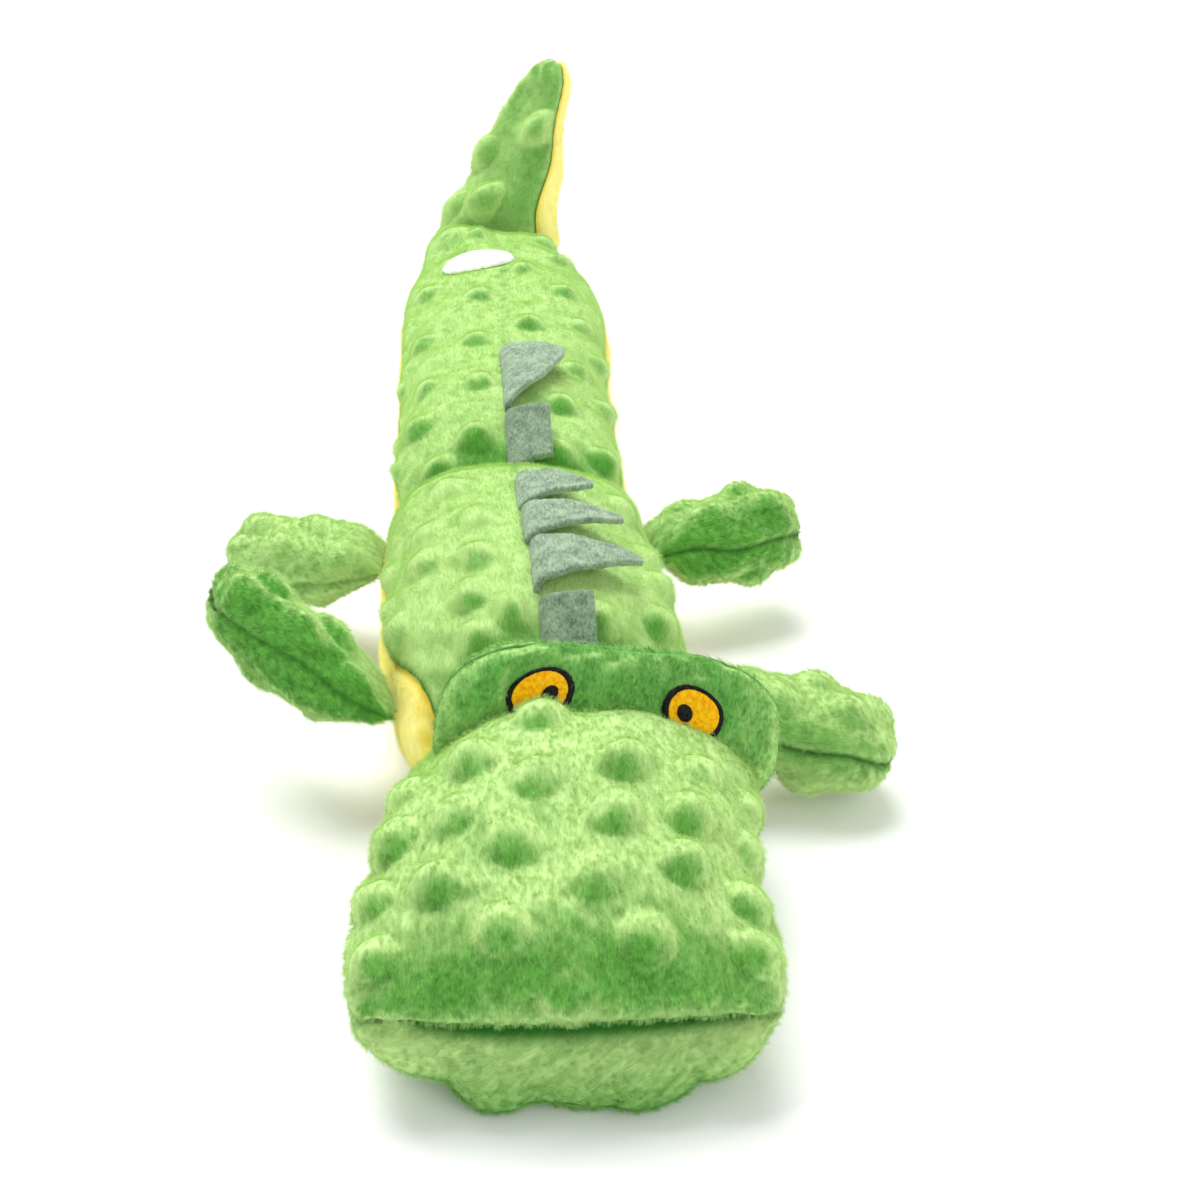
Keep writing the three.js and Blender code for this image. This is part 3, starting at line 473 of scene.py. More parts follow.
class Cloth:
    """The grid of a skin, in rows along the section and columns round it, with its measures."""

    def __init__(self, pillow, panels, step, shape):
        t = pillow.places(step)
        parts = [panel_columns(pillow, t, panel["start"], panel["stop"], step) for panel in panels]
        self.panels = panels
        self.angle = np.concatenate(parts + [parts[0][:, :1] + math.tau], axis=1)
        self.base = shape(pillow.points(t, self.angle))
        self.along = lengths_along(self.base, 0)
        self.across = lengths_along(self.base, 1)
        middle = self.column_at(90)
        self.row_length = self.along[:, middle : middle + 1]
        self.from_middle = self.from_angle(90)
        self.from_ends = np.minimum(self.along, self.along[-1] - self.along)

        stops = np.cumsum([0] + [part.shape[1] for part in parts])
        self.spans = [slice(first, last + 1) for first, last in zip(stops, stops[1:])]
        self.from_seam = np.zeros(self.across.shape)
        for span in self.spans:
            inside = self.across[:, span]
            self.from_seam[:, span] = np.minimum(inside - inside[:, :1], inside[:, -1:] - inside)

    def column_at(self, degrees):
        """The column nearest to an angle in the middle row."""
        return np.argmin(np.abs(self.angle[len(self.angle) // 2] - math.radians(degrees)))

    def from_angle(self, degrees):
        middle = self.column_at(degrees)
        return self.across - self.across[:, middle : middle + 1]

    def near_seams(self, reach, power=2):
        """How near a seam each point lies, times how marked that seam is."""
        near = np.zeros(self.across.shape)
        for panel, span in zip(self.panels, self.spans):
            away = np.abs(self.across - self.across[:, span.start : span.start + 1])
            away = np.minimum(away, self.across[:, -1:] - away) if span.start == 0 else away
            near = np.maximum(near, panel["seam"] * np.exp(-((away / reach) ** power)))
        return near


def outward(points):
    """Directions out of a skin, whose last column is its first one again."""
    ring = np.concatenate([points[:, -2:-1], points, points[:, 1:2]], axis=1)
    out = np.cross(np.gradient(points, axis=0), ring[:, 2:] - ring[:, :-2])
    return out / np.maximum(np.linalg.norm(out, axis=2, keepdims=True), 1e-15)


def dot_relief(cloth, dot_height):
    """The raised dots, which end before the seams and the closed ends."""
    height = np.zeros(cloth.across.shape)
    for panel, span in zip(cloth.panels, cloth.spans):
        whole = grow(cloth.from_seam[:, span], 1.5, 6)
        whole = whole * grow(cloth.from_ends[:, span], 1.5, 7)
        sideways = cloth.from_angle(panel["middle"])[:, span]
        bumps = np.zeros(sideways.shape)
        for place_along, place_across, share in panel["dots"]:
            away = (cloth.row_length - place_along) ** 2 + (sideways - place_across) ** 2
            dome = np.clip(1 - away / panel["dot_radius"] ** 2, 0, 1) ** panel["dot_form"]
            bumps = np.maximum(bumps, share * dome)
        height[:, span] = dot_height * bumps * whole
    return height


def relief(cloth, around, look):
    """How far the cloth stands off its form: dots, stuffing, folds, seams and gathers."""
    along, across = cloth.row_length, cloth.from_middle
    seam, ends = cloth.from_seam, cloth.from_ends
    height = dot_relief(cloth, look["dot_height"])

    swell, swell_from, swell_to = look["swell"]
    lobe = grow(along, swell_from, swell_to) * grow(along[-1] - along, 0, 14)
    first = cloth.spans[0]
    height[:, first] += swell * lobe * grow(seam[:, first], 0, 26)

    fold = np.cos(math.tau * (along - 0.45 * across) / FOLD_PITCH + waves(around, 26, 18))
    height += look["folds"] * fold * grow(across, 6, 14) * shrink(across, 26, 44)
    stuffing = waves(around, 30, 11) * 0.6 + waves(around, 9, 12) * look["lumps"]
    height += stuffing * grow(np.minimum(seam, ends), 0, 9)

    pucker = np.cos(math.tau * along / PUCKER_PITCH + 2 * waves(around, 30, 13))
    height -= look["seam_depth"] * cloth.near_seams(GROOVE_REACH) * (1 + 0.2 * pucker)
    height += 0.3 * pucker * cloth.near_seams(PUCKER_REACH, 1) * grow(seam, 0.5, 2.5)
    gather = np.cos(math.tau * across / GATHER_PITCH + 2 * waves(around, 24, 14))
    height += GATHER_HEIGHT * gather * np.exp(-ends / 7) * grow(ends, 0.8, 3)
    return height + waves(around, 3.2, 15) * look["nubs"]


def press_patches(cloth, height, patches):
    """Presses the cloth flat under stitched patches, and tells where it is bare."""
    bare = np.zeros(height.shape)
    for at_along, at_across, half_along, half_across in patches:
        along = (cloth.row_length - at_along) / half_along
        across = (cloth.from_middle - at_across) / half_across
        away = np.hypot(along, across)
        bare = np.maximum(bare, away < 0.96)
        height = PRESSED + (height - PRESSED) * grow(away, 0.95, 1.3)
    return height, bare


def nap_look(cloth, around, place, cheek_share, look):
    """How much painted shade each point gets, where it faces the camera, on undersides and beside
    seams, and how dark the line of a seam is.
    """
    into_pile = outward(place) @ np.array(NAP) / np.linalg.norm(NAP)
    into_pile = into_pile + waves(around, 12, 17) * 0.02
    deep = np.zeros(into_pile.shape)
    for panel, span in zip(cloth.panels, cloth.spans):
        shaded = panel["under"] * grow(-cloth.base[:, span, 2], 2, 17)
        deep[:, span] = np.maximum(grow(into_pile[:, span], *panel["deep"]), shaded)
    lip = look["lip_line"] * cheek_share
    line = np.maximum(cloth.near_seams(LINE_REACH), lip * bell(cloth.along, 1.7))
    # Painted shade on both sides of the mouth's seam line and beside the other seams
    pressed = lip * bell(cloth.along, np.where(cloth.base[..., 2] > 0, 4, 2.4))
    pressed = np.maximum(pressed, look["pressed"] * cloth.near_seams(FLATTENED_REACH))
    return np.maximum(deep, PRESSED_DEEP * np.maximum(pressed, line)), line


def add_grid_uv(mesh, name, values, at_ends):
    """A UV layer with a value for each point of the grid, and one for the closed ends."""
    quads = np.stack([values[:-1, :-1], values[1:, :-1], values[1:, 1:], values[:-1, 1:]], 2)
    corners = np.full((len(mesh.loops), 2), at_ends, np.float32)
    corners[: quads.size // 2] = quads.reshape(-1, 2)
    mesh.uv_layers.new(name=name).data.foreach_set("uv", corners.ravel())


def make_skin(name, pillow, placement, panels, step, look):
    """A closed skin of panels over a pillow."""
    cloth = Cloth(pillow, panels, step, look["shape"])
    around = cloth.base + np.array(placement)[:3, 3]
    height, bare = press_patches(cloth, relief(cloth, around, look), look["bare"])
    skin = cloth.base + outward(cloth.base) * height[..., None]
    corner = grow(np.abs(cloth.base[..., 0]) / pillow.half_width, 0.76, 0.9)
    skin[..., 1] += look["sink"] * (1 - 0.7 * corner) * bell(cloth.along, 2.2)
    place = to_row(skin, placement)
    if look["stands"]:
        place[..., 2] = np.maximum(place[..., 2], 0.0)
    # Painted shade where the skin faces the camera, on undersides and beside seams, with the dark
    # seam lines
    deep, line = nap_look(cloth, around, place, 1 - corner, look)

    piece = ringed_piece(name, place[:, :-1])
    mesh = piece.data
    add_grid_uv(mesh, "cloth", np.stack([cloth.from_middle, cloth.along], -1) * MM, (0, 0))
    # The painted shade and the seam lines go into a UV layer; the closed ends, inside the seams,
    # get painted shade
    add_grid_uv(mesh, "nap", np.stack([deep, line], -1), (PRESSED_DEEP, look["dark_lips"]))
    widths = [span.stop - span.start - 1 for span in cloth.spans]
    row_slots = np.repeat(np.arange(len(panels)), widths)
    slots = np.zeros(len(mesh.polygons), np.int32)
    slots[: (len(place) - 1) * len(row_slots)] = np.tile(row_slots, len(place) - 1)
    mesh.polygons.foreach_set("material_index", slots)
    bare = np.maximum(bare, BARE_IN_LINE * line)[:, :-1].astype(np.float32)
    mesh.attributes.new("bare", "FLOAT", "POINT").data.foreach_set("value", bare.ravel())
    for panel in panels:
        mesh.materials.append(panel["cloth"])
    mesh.update()
    return piece


# Materials


class Nodes:
    """Short names for building a material's node tree."""

    def __init__(self, name):
        self.material = bpy.data.materials.new(name)
        self.material.use_nodes = True
        self.tree = self.material.node_tree
        self.shader = self.tree.nodes["Principled BSDF"]

    def add(self, kind, links=None, **settings):
        node = self.tree.nodes.new(kind)
        for key, value in settings.items():
            setattr(node, key, value)
        for socket, value in (links or {}).items():
            self.put(node, socket, value)
        return node

    def put(self, node, socket, value):
        """Links a socket, or sets it to a value or to a screen colour such as "#125a0c"."""
        if isinstance(value, bpy.types.NodeSocket):
            self.tree.links.new(value, node.inputs[socket])
            return
        if isinstance(value, str):
            value = (*map(linear, bytes.fromhex(value[1:])), 1.0)
        node.inputs[socket].default_value = value

    def finished(self, inputs):
        """The material, with the inputs of its shader."""
        for socket, value in inputs.items():
            self.put(self.shader, socket, value)
        return self.material

    def mix(self, factor, a, b):
        return self.add("ShaderNodeMix", {0: factor, 6: a, 7: b}, data_type="RGBA").outputs[2]

    def math(self, kind, a, b):
        return self.add("ShaderNodeMath", {0: a, 1: b}, operation=kind).outputs[0]

    def weighted(self, a, a_share, b, b_share):
        a, b = self.math("MULTIPLY", a, a_share), self.math("MULTIPLY", b, b_share)
        return self.math("ADD", a, b)

    def ramp(self, value, low, high, to_low=0.0, to_high=1.0):
        ends = {"From Min": low, "From Max": high, "To Min": to_low, "To Max": to_high}
        return self.add("ShaderNodeMapRange", {"Value": value, **ends}).outputs["Result"]

    def noise(self, vector, scale, detail=3.0, roughness=0.6):
        inputs = {"Vector": vector, "Scale": scale, "Detail": detail, "Roughness": roughness}
        return self.add("ShaderNodeTexNoise", inputs).outputs["Fac"]

    def bump(self, height, strength, distance):
        inputs = {"Height": height, "Strength": strength, "Distance": distance}
        return self.add("ShaderNodeBump", inputs).outputs["Normal"]

    def place(self):
        return self.add("ShaderNodeTexCoord").outputs["Object"]

    def uv(self, name):
        return self.add("ShaderNodeUVMap", uv_map=name).outputs["UV"]

    def stretched(self, vector, share):
        """The vector with its second part shortened, for noise that runs in streaks."""
        inputs = {"Vector": vector, "Scale": (1.0, share, 1.0)}
        return self.add("ShaderNodeMapping", inputs).outputs["Vector"]

    def nap(self):
        """How much painted shade the pile has, and how dark the line of a seam."""
        deep, line, _ = self.add("ShaderNodeSeparateXYZ", {"Vector": self.uv("nap")}).outputs
        return deep, line


def linear(screen_value):
    """A screen's value of 0 to 255 as a linear share."""
    share = screen_value / 255
    return share / 12.92 if share <= 0.04045 else ((share + 0.055) / 1.055) ** 2.4


# Noise in each matter, in waves to the metre
CLOTH_STREAKS = 1900
CLOTH_TUFTS = 420
PILE_STREAKS = 950
FELT_FIBRES = 1500
FELT_PATCHES = 260
THREAD_GRAIN = 900
LABEL_GRAIN = 300
PLASTIC_GRAIN = 40


def nap_colour(n, tone, colours, line_share):
    """The colours painted in shade or the lit colours, and the darkest shaded one in the line of a
    seam.
    """
    deep_dark, deep_light, lit_dark, lit_light = colours
    deep, line = n.nap()
    fur = n.mix(deep, n.mix(tone, lit_dark, lit_light), n.mix(tone, deep_dark, deep_light))
    return n.mix(n.math("MULTIPLY", line, line_share), fur, deep_dark)


def plush(name, colours, sheen):
    """Cloth under the pile, with streaks and tufts, and painted shade where it faces the camera or
    lies beside seams.
    """
    n = Nodes(name)
    streaks = n.noise(n.stretched(n.uv("cloth"), 0.28), CLOTH_STREAKS)
    depth = n.weighted(streaks, 0.8, n.noise(n.place(), CLOTH_TUFTS), 0.2)
    return n.finished(
        {
            "Base Color": nap_colour(n, n.ramp(depth, 0.05, 0.72), colours, 0.95),
            "Roughness": 0.9,
            "Specular IOR Level": 0.15,
            "Sheen Weight": 0.4,
            "Sheen Roughness": 0.45,
            "Sheen Tint": sheen,
            "Normal": n.bump(depth, 0.6, 0.0006),
        }
    )


def pile(name, colours):
    """Hairs of the pile, with the skin's painted shade, lighter towards their tips as painted shade
    at the roots, and uneven from one to the next.
    """
    n = Nodes(name)
    hair = n.add("ShaderNodeHairInfo").outputs
    uneven = n.ramp(n.nap()[0], 0.0, 1.0, 0.12, 0.34)
    streaks = n.noise(n.stretched(n.uv("cloth"), 0.34), PILE_STREAKS, 2.0)
    shade = n.math("MULTIPLY", uneven, n.ramp(streaks, 0.34, 0.66, -1.0, 1.0))
    strand = n.math("MULTIPLY", uneven, n.ramp(hair["Random"], 0.0, 1.0, -1.0, 1.0))
    # Painted shade: darker towards the roots, deep in the pile
    along_hair = n.ramp(hair["Intercept"], -0.5, 0.9)
    tone = n.math("ADD", along_hair, n.math("ADD", shade, strand))
    tone = n.add("ShaderNodeClamp", {"Value": tone}).outputs["Result"]
    return n.finished(
        {
            "Base Color": nap_colour(n, tone, colours, 0.9),
            "Roughness": 0.7,
            "Specular IOR Level": 0.12,
        }
    )


def felt_matter(name, dark, light):
    n = Nodes(name)
    fibres = n.noise(n.stretched(n.place(), 0.35), FELT_FIBRES, 4.0, 0.7)
    grain = n.weighted(fibres, 0.6, n.noise(n.place(), FELT_PATCHES, 2.0), 0.4)
    return n.finished(
        {
            "Base Color": n.mix(n.ramp(grain, 0.38, 0.62), dark, light),
            "Roughness": 1.0,
            "Specular IOR Level": 0.05,
            "Sheen Weight": 0.35,
            "Sheen Roughness": 0.6,
            "Normal": n.bump(grain, 0.8, 0.0004),
        }
    )


def thread(name, dark, light, grain_scale=THREAD_GRAIN, gloss=0.3):
    n = Nodes(name)
    grain = n.ramp(n.noise(n.place(), grain_scale), 0.35, 0.6)
    return n.finished(
        {"Base Color": n.mix(grain, dark, light), "Roughness": 0.5, "Specular IOR Level": gloss}
    )


# Each row: the colours painted in shade, dark and light, and the lit colours, dark and light
GREENS = ("#125a0c", "#76c252", "#8aca5a", "#d2e7a2")
BROW_GREENS = ("#125812", "#76c05a", "#58a23e", "#c6ea94")
YELLOWS = ("#f6ce38", "#fef27c", "#faec60", "#fffcba")
dotted_plush = plush("dotted_cloth", GREENS, "#e1f8be")
brow_plush = plush("brow_cloth", BROW_GREENS, "#c8eca0")
belly_plush = plush("belly_cloth", YELLOWS, "#fff8be")
piles = {
    dotted_plush: pile("dotted_pile", GREENS),
    brow_plush: pile("brow_pile", BROW_GREENS),
    belly_plush: pile("belly_pile", YELLOWS),
}
felt = felt_matter("felt_cloth", "#547058", "#9eb696")
# A darker copy of the felt, painted shade for fins that stand in shadow
shaded_felt = felt_matter("shaded_felt_cloth", "#46604a", "#88a282")
felt_fuzz = felt_matter("felt_fuzz", "#829c7c", "#d6e4c8")
iris_thread = thread("iris_stitches", "#ec9800", "#ffc60a", gloss=0.1)
black_thread = thread("black_stitches", "#060607", "#202122", gloss=0.12)
label_cloth = thread("label_satin", "#ecece8", "#fafaf8", LABEL_GRAIN)
squeaker_plastic = thread("squeaker_plastic_look", "#e4e6e0", "#f0f0ec", PLASTIC_GRAIN)
for section in ("head", "torso"):
    for part in ("bladder", "reed"):
        squeaker = bpy.data.objects[f"{section}_squeaker_{part}"].data
        squeaker.materials.clear()
        squeaker.materials.append(squeaker_plastic)


# Camera, light and floor, in metres

CLIP_START = 0.01
WORLD_STRENGTH = 0.56
FLOOR_REACH = 6.0
FLOOR_DROP = 0.0002

# Each lamp: name, place, what it faces, size and power
LAMPS = (
    ("top_light", (-0.3, 0.7, 1.6), (0, 0, 0), 1.4, 40),
    ("front_light", (0.6, -1.4, 0.9), (0, -0.1, 0.03), 1.0, 8),
)


def facing(place, direction):
    return Matrix.LocRotScale(Vector(place), direction.to_track_quat("-Z", "Y"), None)


def add_camera():
    camera = linked("camera", bpy.data.cameras.new("camera"))
    camera.data.lens = LENS_MM
    camera.data.sensor_width = SENSOR_MM
    camera.data.clip_start = CLIP_START
    bpy.context.scene.camera = camera
    pitch = math.radians(CAMERA_PITCH_DEGREES)
    flat = Vector((*CAMERA_HEADING, 0)).normalized() * math.cos(pitch)
    place = (Vector(CAMERA_PLACE) + Vector(TOY_SHIFT)) * MM
    camera.matrix_world = facing(place, flat + Vector((0, 0, -math.sin(pitch))))


def add_lights():
    world = bpy.data.worlds.new("world")
    world.use_nodes = True
    background = world.node_tree.nodes["Background"].inputs
    background["Color"].default_value = (1, 1, 1, 1)
    background["Strength"].default_value = WORLD_STRENGTH
    bpy.context.scene.world = world
    for name, place, target, size, power in LAMPS:
        light = linked(name, bpy.data.lights.new(name, "AREA"))
        light.data.size = size
        light.data.energy = power
        light.matrix_world = facing(place, Vector(target) - Vector(place))


def add_floor():
    mesh = bpy.data.meshes.new("floor")
    corners = ((-1, -1), (1, -1), (1, 1), (-1, 1))
    points = [(x * FLOOR_REACH, y * FLOOR_REACH, 0) for x, y in corners]
    mesh.from_pydata(points, [], [(0, 1, 2, 3)])
    white = {"Base Color": (0.98, 0.98, 0.98, 1), "Roughness": 1.0, "Specular IOR Level": 0.0}
    mesh.materials.append(Nodes("floor").finished(white))
    floor = linked("floor", mesh)
    floor.location.z = -FLOOR_DROP


add_camera()
add_lights()
add_floor()
bpy.context.scene.view_settings.view_transform = "Standard"


# Pile: tufts of short hairs that stand on the skin, and the felt's fuzz

PILE_LENGTH = 1.6
PILE_LEAN_SHARE = 0.8
PILE_UNEVEN_SHARE = 0.35
PILE_HAIR_WIDTH = 0.07
HAIRS_TO_A_TUFT = 8
FUZZ_LENGTH = 0.55
FUZZ_DENSITY = 5.0
FUZZ_HAIR_WIDTH = 0.05


def speed(length):
    """The speed, as Blender has it, at which a hair grows to a length in millimetres."""
    return length * MM / 4


def add_hair(piece, name, matter, area, density, width, **settings):
    """Hairs on an area of a piece. Density is in hairs to a square millimetre."""
    piece.modifiers.new(name, "PARTICLE_SYSTEM")
    system = piece.particle_systems[-1]
    system.seed = 7
    shared = {
        "type": "HAIR",
        "use_advanced_hair": True,
        "count": int(area / MM**2 * density),
        "hair_step": 2,
        "render_step": 2,
        "display_step": 2,
        "distribution": "RAND",
        "emit_from": "FACE",
        "root_radius": 1.0,
        "radius_scale": width * MM / 2,
    }
    for key, value in {**shared, **settings}.items():
        setattr(system.settings, key, value)
    piece.data.materials.append(matter)
    system.settings.material = len(piece.data.materials)
    return system


def add_pile(piece, density, clump, radius):
    """Tufts on each material's faces, none where the skin is bare."""
    mesh = piece.data
    areas = read_all(mesh.polygons, "area", float)
    slots = read_all(mesh.polygons, "material_index")
    corner_counts = read_all(mesh.polygons, "loop_total")
    corners = read_all(mesh.loops, "vertex_index")
    bare = read_all(mesh.attributes["bare"].data, "value", float)
    for matter in dict.fromkeys(mesh.materials[:]):
        faces = np.isin(slots, [i for i, m in enumerate(mesh.materials) if m == matter])
        group = piece.vertex_groups.new(name=matter.name)
        members = np.unique(corners[np.repeat(faces, corner_counts)])
        for vertex in members[bare[members] < 1]:
            group.add([int(vertex)], 1.0 - bare[vertex], "REPLACE")
        system = add_hair(
            piece,
            matter.name + "_pile",
            piles[matter],
            areas[faces].sum(),
            density,
            PILE_HAIR_WIDTH,
            normal_factor=speed((1 - 0.4 * PILE_LEAN_SHARE) * PILE_LENGTH),
            tangent_factor=speed(PILE_LEAN_SHARE * PILE_LENGTH),
            tangent_phase=1.0,
            factor_random=speed(PILE_UNEVEN_SHARE * PILE_LENGTH),
            use_even_distribution=True,
            child_type="SIMPLE",
            rendered_child_count=HAIRS_TO_A_TUFT,
            child_percent=HAIRS_TO_A_TUFT,
            child_radius=radius * MM,
            child_roundness=0.2,
            clump_factor=clump,
            roughness_1=0.0002,
            roughness_1_size=0.002,
            length_random=PILE_UNEVEN_SHARE,
            tip_radius=0.3,
        )
        system.vertex_group_density = group.name
        system.vertex_group_length = group.name
    mesh.uv_layers.active = mesh.uv_layers["cloth"]


def add_fuzz(piece):
    """Loose fibres all over a piece of felt."""
    add_hair(
        piece,
        "fuzz",
        felt_fuzz,
        sum(face.area for face in piece.data.polygons),
        FUZZ_DENSITY,
        FUZZ_HAIR_WIDTH,
        normal_factor=speed(0.4 * FUZZ_LENGTH),
        factor_random=speed(0.8 * FUZZ_LENGTH),
        tip_radius=0.5,
    )


# Sections

SEAM = SIDE_SEAM_DEGREES
EYE_HALF_WIDTH = 7.6
EYE_HALF_HEIGHT = 7.4
EYE_SPACING = 38
IRIS_SHARE = 0.9
OUTLINE_SHARE = 0.81
PUPIL_HALF_WIDTH = 1.9
PUPIL_HALF_HEIGHT = 2.2
PUPIL_SHIFT = 2.6
STITCH = 0.42
STITCH_LENGTH = 4.2
LABEL_PLACE = 0.752
LABEL_DEGREES = 104
LABEL_HALF_LENGTH = 11
LABEL_HALF_WIDTH = 13
LABEL_SLANT = 0.16

# Each eye: name, side and place along the brow
EYES = (("left", 1, 0.66), ("right", -1, 0.72))


def angle_across(pillow, t, x):
    """The angle on the upper side whose point lies x across the section."""
    angles = np.linspace(0.02, math.pi - 0.02, 2001)
    across = pillow.points(np.array([t]), angles[None])[0, :, 0]
    return float(np.interp(-x, -across, angles))


def cloth_place(pillow, t, x):
    """How far along the cloth, and across from the middle, the upper point at x lies."""
    path = pillow.points(np.linspace(0, t, 400), np.full((400, 1), math.pi / 2))[:, 0]
    turn = np.linspace(math.pi / 2, angle_across(pillow, t, x), 200)
    row = pillow.points(np.array([t]), turn[None])[0]
    across = np.linalg.norm(np.diff(row, axis=0), axis=1).sum()
    along = np.linalg.norm(np.diff(path, axis=0), axis=1).sum()
    return along, math.copysign(across, turn[-1] - turn[0])


# A panel where it says nothing else
USUAL_PANEL = {
    "seam": 1.0,  # how marked the seam at its start is
    "middle": 90,  # the angle from which its dots' places count
    "deep": NAP_RANGE,  # from where to where the painted shade grows as the surface faces the camera
    "under": 0,  # how much painted shade lies on the underside
    "dot_radius": DOT_RADIUS,
    "dot_form": 1.0,
}


def panel(start, stop, cloth, dots=(), **look):
    """A panel between two angles, in degrees."""
    return {**USUAL_PANEL, "start": start, "stop": stop, "cloth": cloth, "dots": dots, **look}


# The body's pile is dense and isn't gathered in tufts
BODY_LOOK = {"nubs": 0, "tufts": (1.4, 0.0, 1.7)}


def add_section(name, body, pillow, placement, panels, nodes, step, **look):
    look = {**USUAL_LOOK, **look}
    piece = make_skin(name, pillow, placement, panels, step, look)
    add_pile(piece, *look["tufts"])
    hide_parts(*nodes)
    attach(piece, body)


def snout_shape(points):
    """Bows and closes the mouth seam, fills the cheeks and chin and rounds the jaw's corners."""
    x, y, z = (points[..., k] for k in range(3))
    z = z * (1 - 0.7 * bell(z, 2.5) * shrink(y, 2, 8))
    front = shrink(y, 10, 45)
    corner = grow(np.abs(x) / head.half_width, 0.45, 1)
    lower = np.where(z < 0, z * (1 - 0.3 * corner * front), z)
    sideways = np.sign(x) * grow(np.abs(x), 20, 40)
    cheek = bell(y - 14, 16) * grow(z, -4, 10) * shrink(z, 16, 30)
    width_share = np.clip(np.abs(x) / head.half_width, 0, 1)
    bow = width_share**2 * front * np.where(x < 0, 5.0, 2.5)
    lift = corner * front * bell(z, 9) * np.where(x < 0, 2.2, 0.5)
    chin = 1.6 * bell(z + 9, 7) * shrink(y, 0, 12) * (z < 0)
    low_chin = 4.0 * bell(z + 17, 7) * shrink(y, 3, 20)
    chin = chin + low_chin * shrink(np.abs(x), 14, 36)
    slump = 2.6 * grow(x, 8, 30) * grow(y, 45, 75) * grow(z, 5, 20)
    return np.stack([x + 3.0 * sideways * cheek, y + bow - chin, lower + lift - slump], -1)


def add_head():
    snout = panel(0, 180, dotted_plush, SNOUT_DOTS, seam=0.35)
    # The jaw gets painted shade towards its underside
    jaw_look = {"middle": 270, "deep": (0.82, 1.34), "dot_radius": 10, "seam": 0.35, "under": 0.8}
    add_section(
        "head_plush",
        "head",
        head,
        head_frame,
        [snout, panel(180, 360, dotted_plush, JAW_DOTS, **jaw_look)],
        ["snout_panel", "jaw_panel", "head_lower_filling", "head_upper_filling"],
        0.9,
        stands=True,
        sink=1.7,
        swell=(2.6, 30, 75),
        dot_height=4.6,
        tufts=(1.3, 0.5, 0.8),
        lip_line=1.0,
        shape=snout_shape,
    )


def add_brow():
    eye_places = [
        cloth_place(brow, brow.at_length(place), side * EYE_SPACING / 2) for _, side, place in EYES
    ]
    add_section(
        "brow_plush",
        "head",
        brow,
        brow_frame,
        [panel(0, 180, brow_plush), panel(180, 360, brow_plush)],
        ["brow_front_panel", "brow_back_panel", "brow_filling"],
        0.9,
        seam_depth=0.6,
        dark_lips=0.2,
        bare=[place + (EYE_HALF_HEIGHT, EYE_HALF_WIDTH) for place in eye_places],
    )


def turning(start, change, low, high):
    """A seam that turns by an angle between two places along its section."""
    return lambda places: start + change * grow(places, low, high)


def back_panels(left_seam, right_seam, dots, deep):
    """Two dotted panels that meet at the spine, with their range of painted shade, and the belly
    below the side seams.
    """
    look = {"deep": deep, "dot_form": 1.35}
    return [
        panel(left_seam, 90, dotted_plush, dots, **look),
        panel(90, right_seam, dotted_plush, dots, seam=0.12, **look),
        panel(right_seam, lambda y: 360 + edge_of(left_seam, y), belly_plush),
    ]


def add_torso():
    add_section(
        "torso_plush",
        "torso",
        torso,
        torso_frame,
        back_panels(
            turning(SEAM + 10, -4, 10, 50), turning(150 - SEAM, 24, 8, 42), TORSO_DOTS, (0.74, 1.05)
        ),
        [
            "torso_left_back_panel",
            "torso_right_back_panel",
            "torso_belly_panel",
            "torso_lower_filling",
            "torso_upper_filling",
        ],
        1.0,
        stands=True,
        folds=0.22,
        lumps=0.05,
        **BODY_LOOK,
    )


label_t = tail.at_length(LABEL_PLACE)
label_across = float(tail.point(label_t, LABEL_DEGREES)[0][0])


def tail_shape(points):
    """Keeps the end of the tail full up to the fold, where it bulges over the tip's root."""
    x, y, z = (points[..., k] for k in range(3))
    share = y / TAIL.length
    fuller = grow(share, 0.86, 0.975) * grow(z, -2.5, 3)
    fuller = fuller * (4.0 + 6.5 * grow(-x, 0, 24))
    longer = 2.0 * grow(share, 0.93, 0.985) * grow(z, 2, 10)
    return np.stack([x, y + longer, z + fuller], -1)


def add_tail():
    left_seam = turning(SEAM + 4, 30, 226, 250)
    label_place = cloth_place(tail, label_t, label_across)
    add_section(
        "tail_plush",
        "tail",
        tail,
        tail_frame,
        back_panels(left_seam, 180 - SEAM - 2, TAIL_DOTS, (0.46, 0.98)),
        ["tail_left_back_panel", "tail_right_back_panel", "tail_belly_panel", "tail_filling"],
        1.2,
        stands=True,
        bare=[label_place + (LABEL_HALF_LENGTH + 1, LABEL_HALF_WIDTH)],
        shape=tail_shape,
        lumps=0.02,
        **BODY_LOOK,
    )


def tip_shape(points):
    """Fills the yellow side of the tip near its root and blunts its end."""
    x, y, z = (points[..., k] for k in range(3))
    from_axis = x - x.mean(axis=1, keepdims=True)
    fuller = 4.5 * grow(from_axis, 2, 14) * grow(y, 0, 8) * shrink(y, 34, 66)
    return np.stack([x + fuller + 0.35 * from_axis * grow(y, 45, 74), y, z], -1)


def add_tip():
    left_seam, left_again = turning(50, -42, 5, 50), turning(410, -42, 5, 50)
    top_look = {"deep": (0.5, 1.26), "dot_radius": 8.6, "dot_form": 0.85}
    add_section(
        "tail_tip_plush",
        "tail_tip",
        tip,
        tip_frame,
        [
            panel(left_seam, 180, dotted_plush, TIP_DOTS, **top_look),
            panel(180, left_again, belly_plush, deep=(0.8, 1.5)),
        ],
        ["tail_tip_top_panel", "tail_tip_belly_panel", "tail_tip_filling"],
        0.9,
        seam_depth=0.8,
        shape=tip_shape,
        pressed=0.4,
        lumps=0,
        **BODY_LOOK,
    )


def bent(rise):
    """A shape that bends a leg up towards its paw."""
    return lambda points: points + rise * grow(points[..., 1:2], 3, 42) * np.array([0, 0, 1])


def wavy(middle):
    """A leg's seam, which wavers a little."""
    return lambda places: middle + 5 * np.sin(places / 5.2) * grow(places, 6, 20)


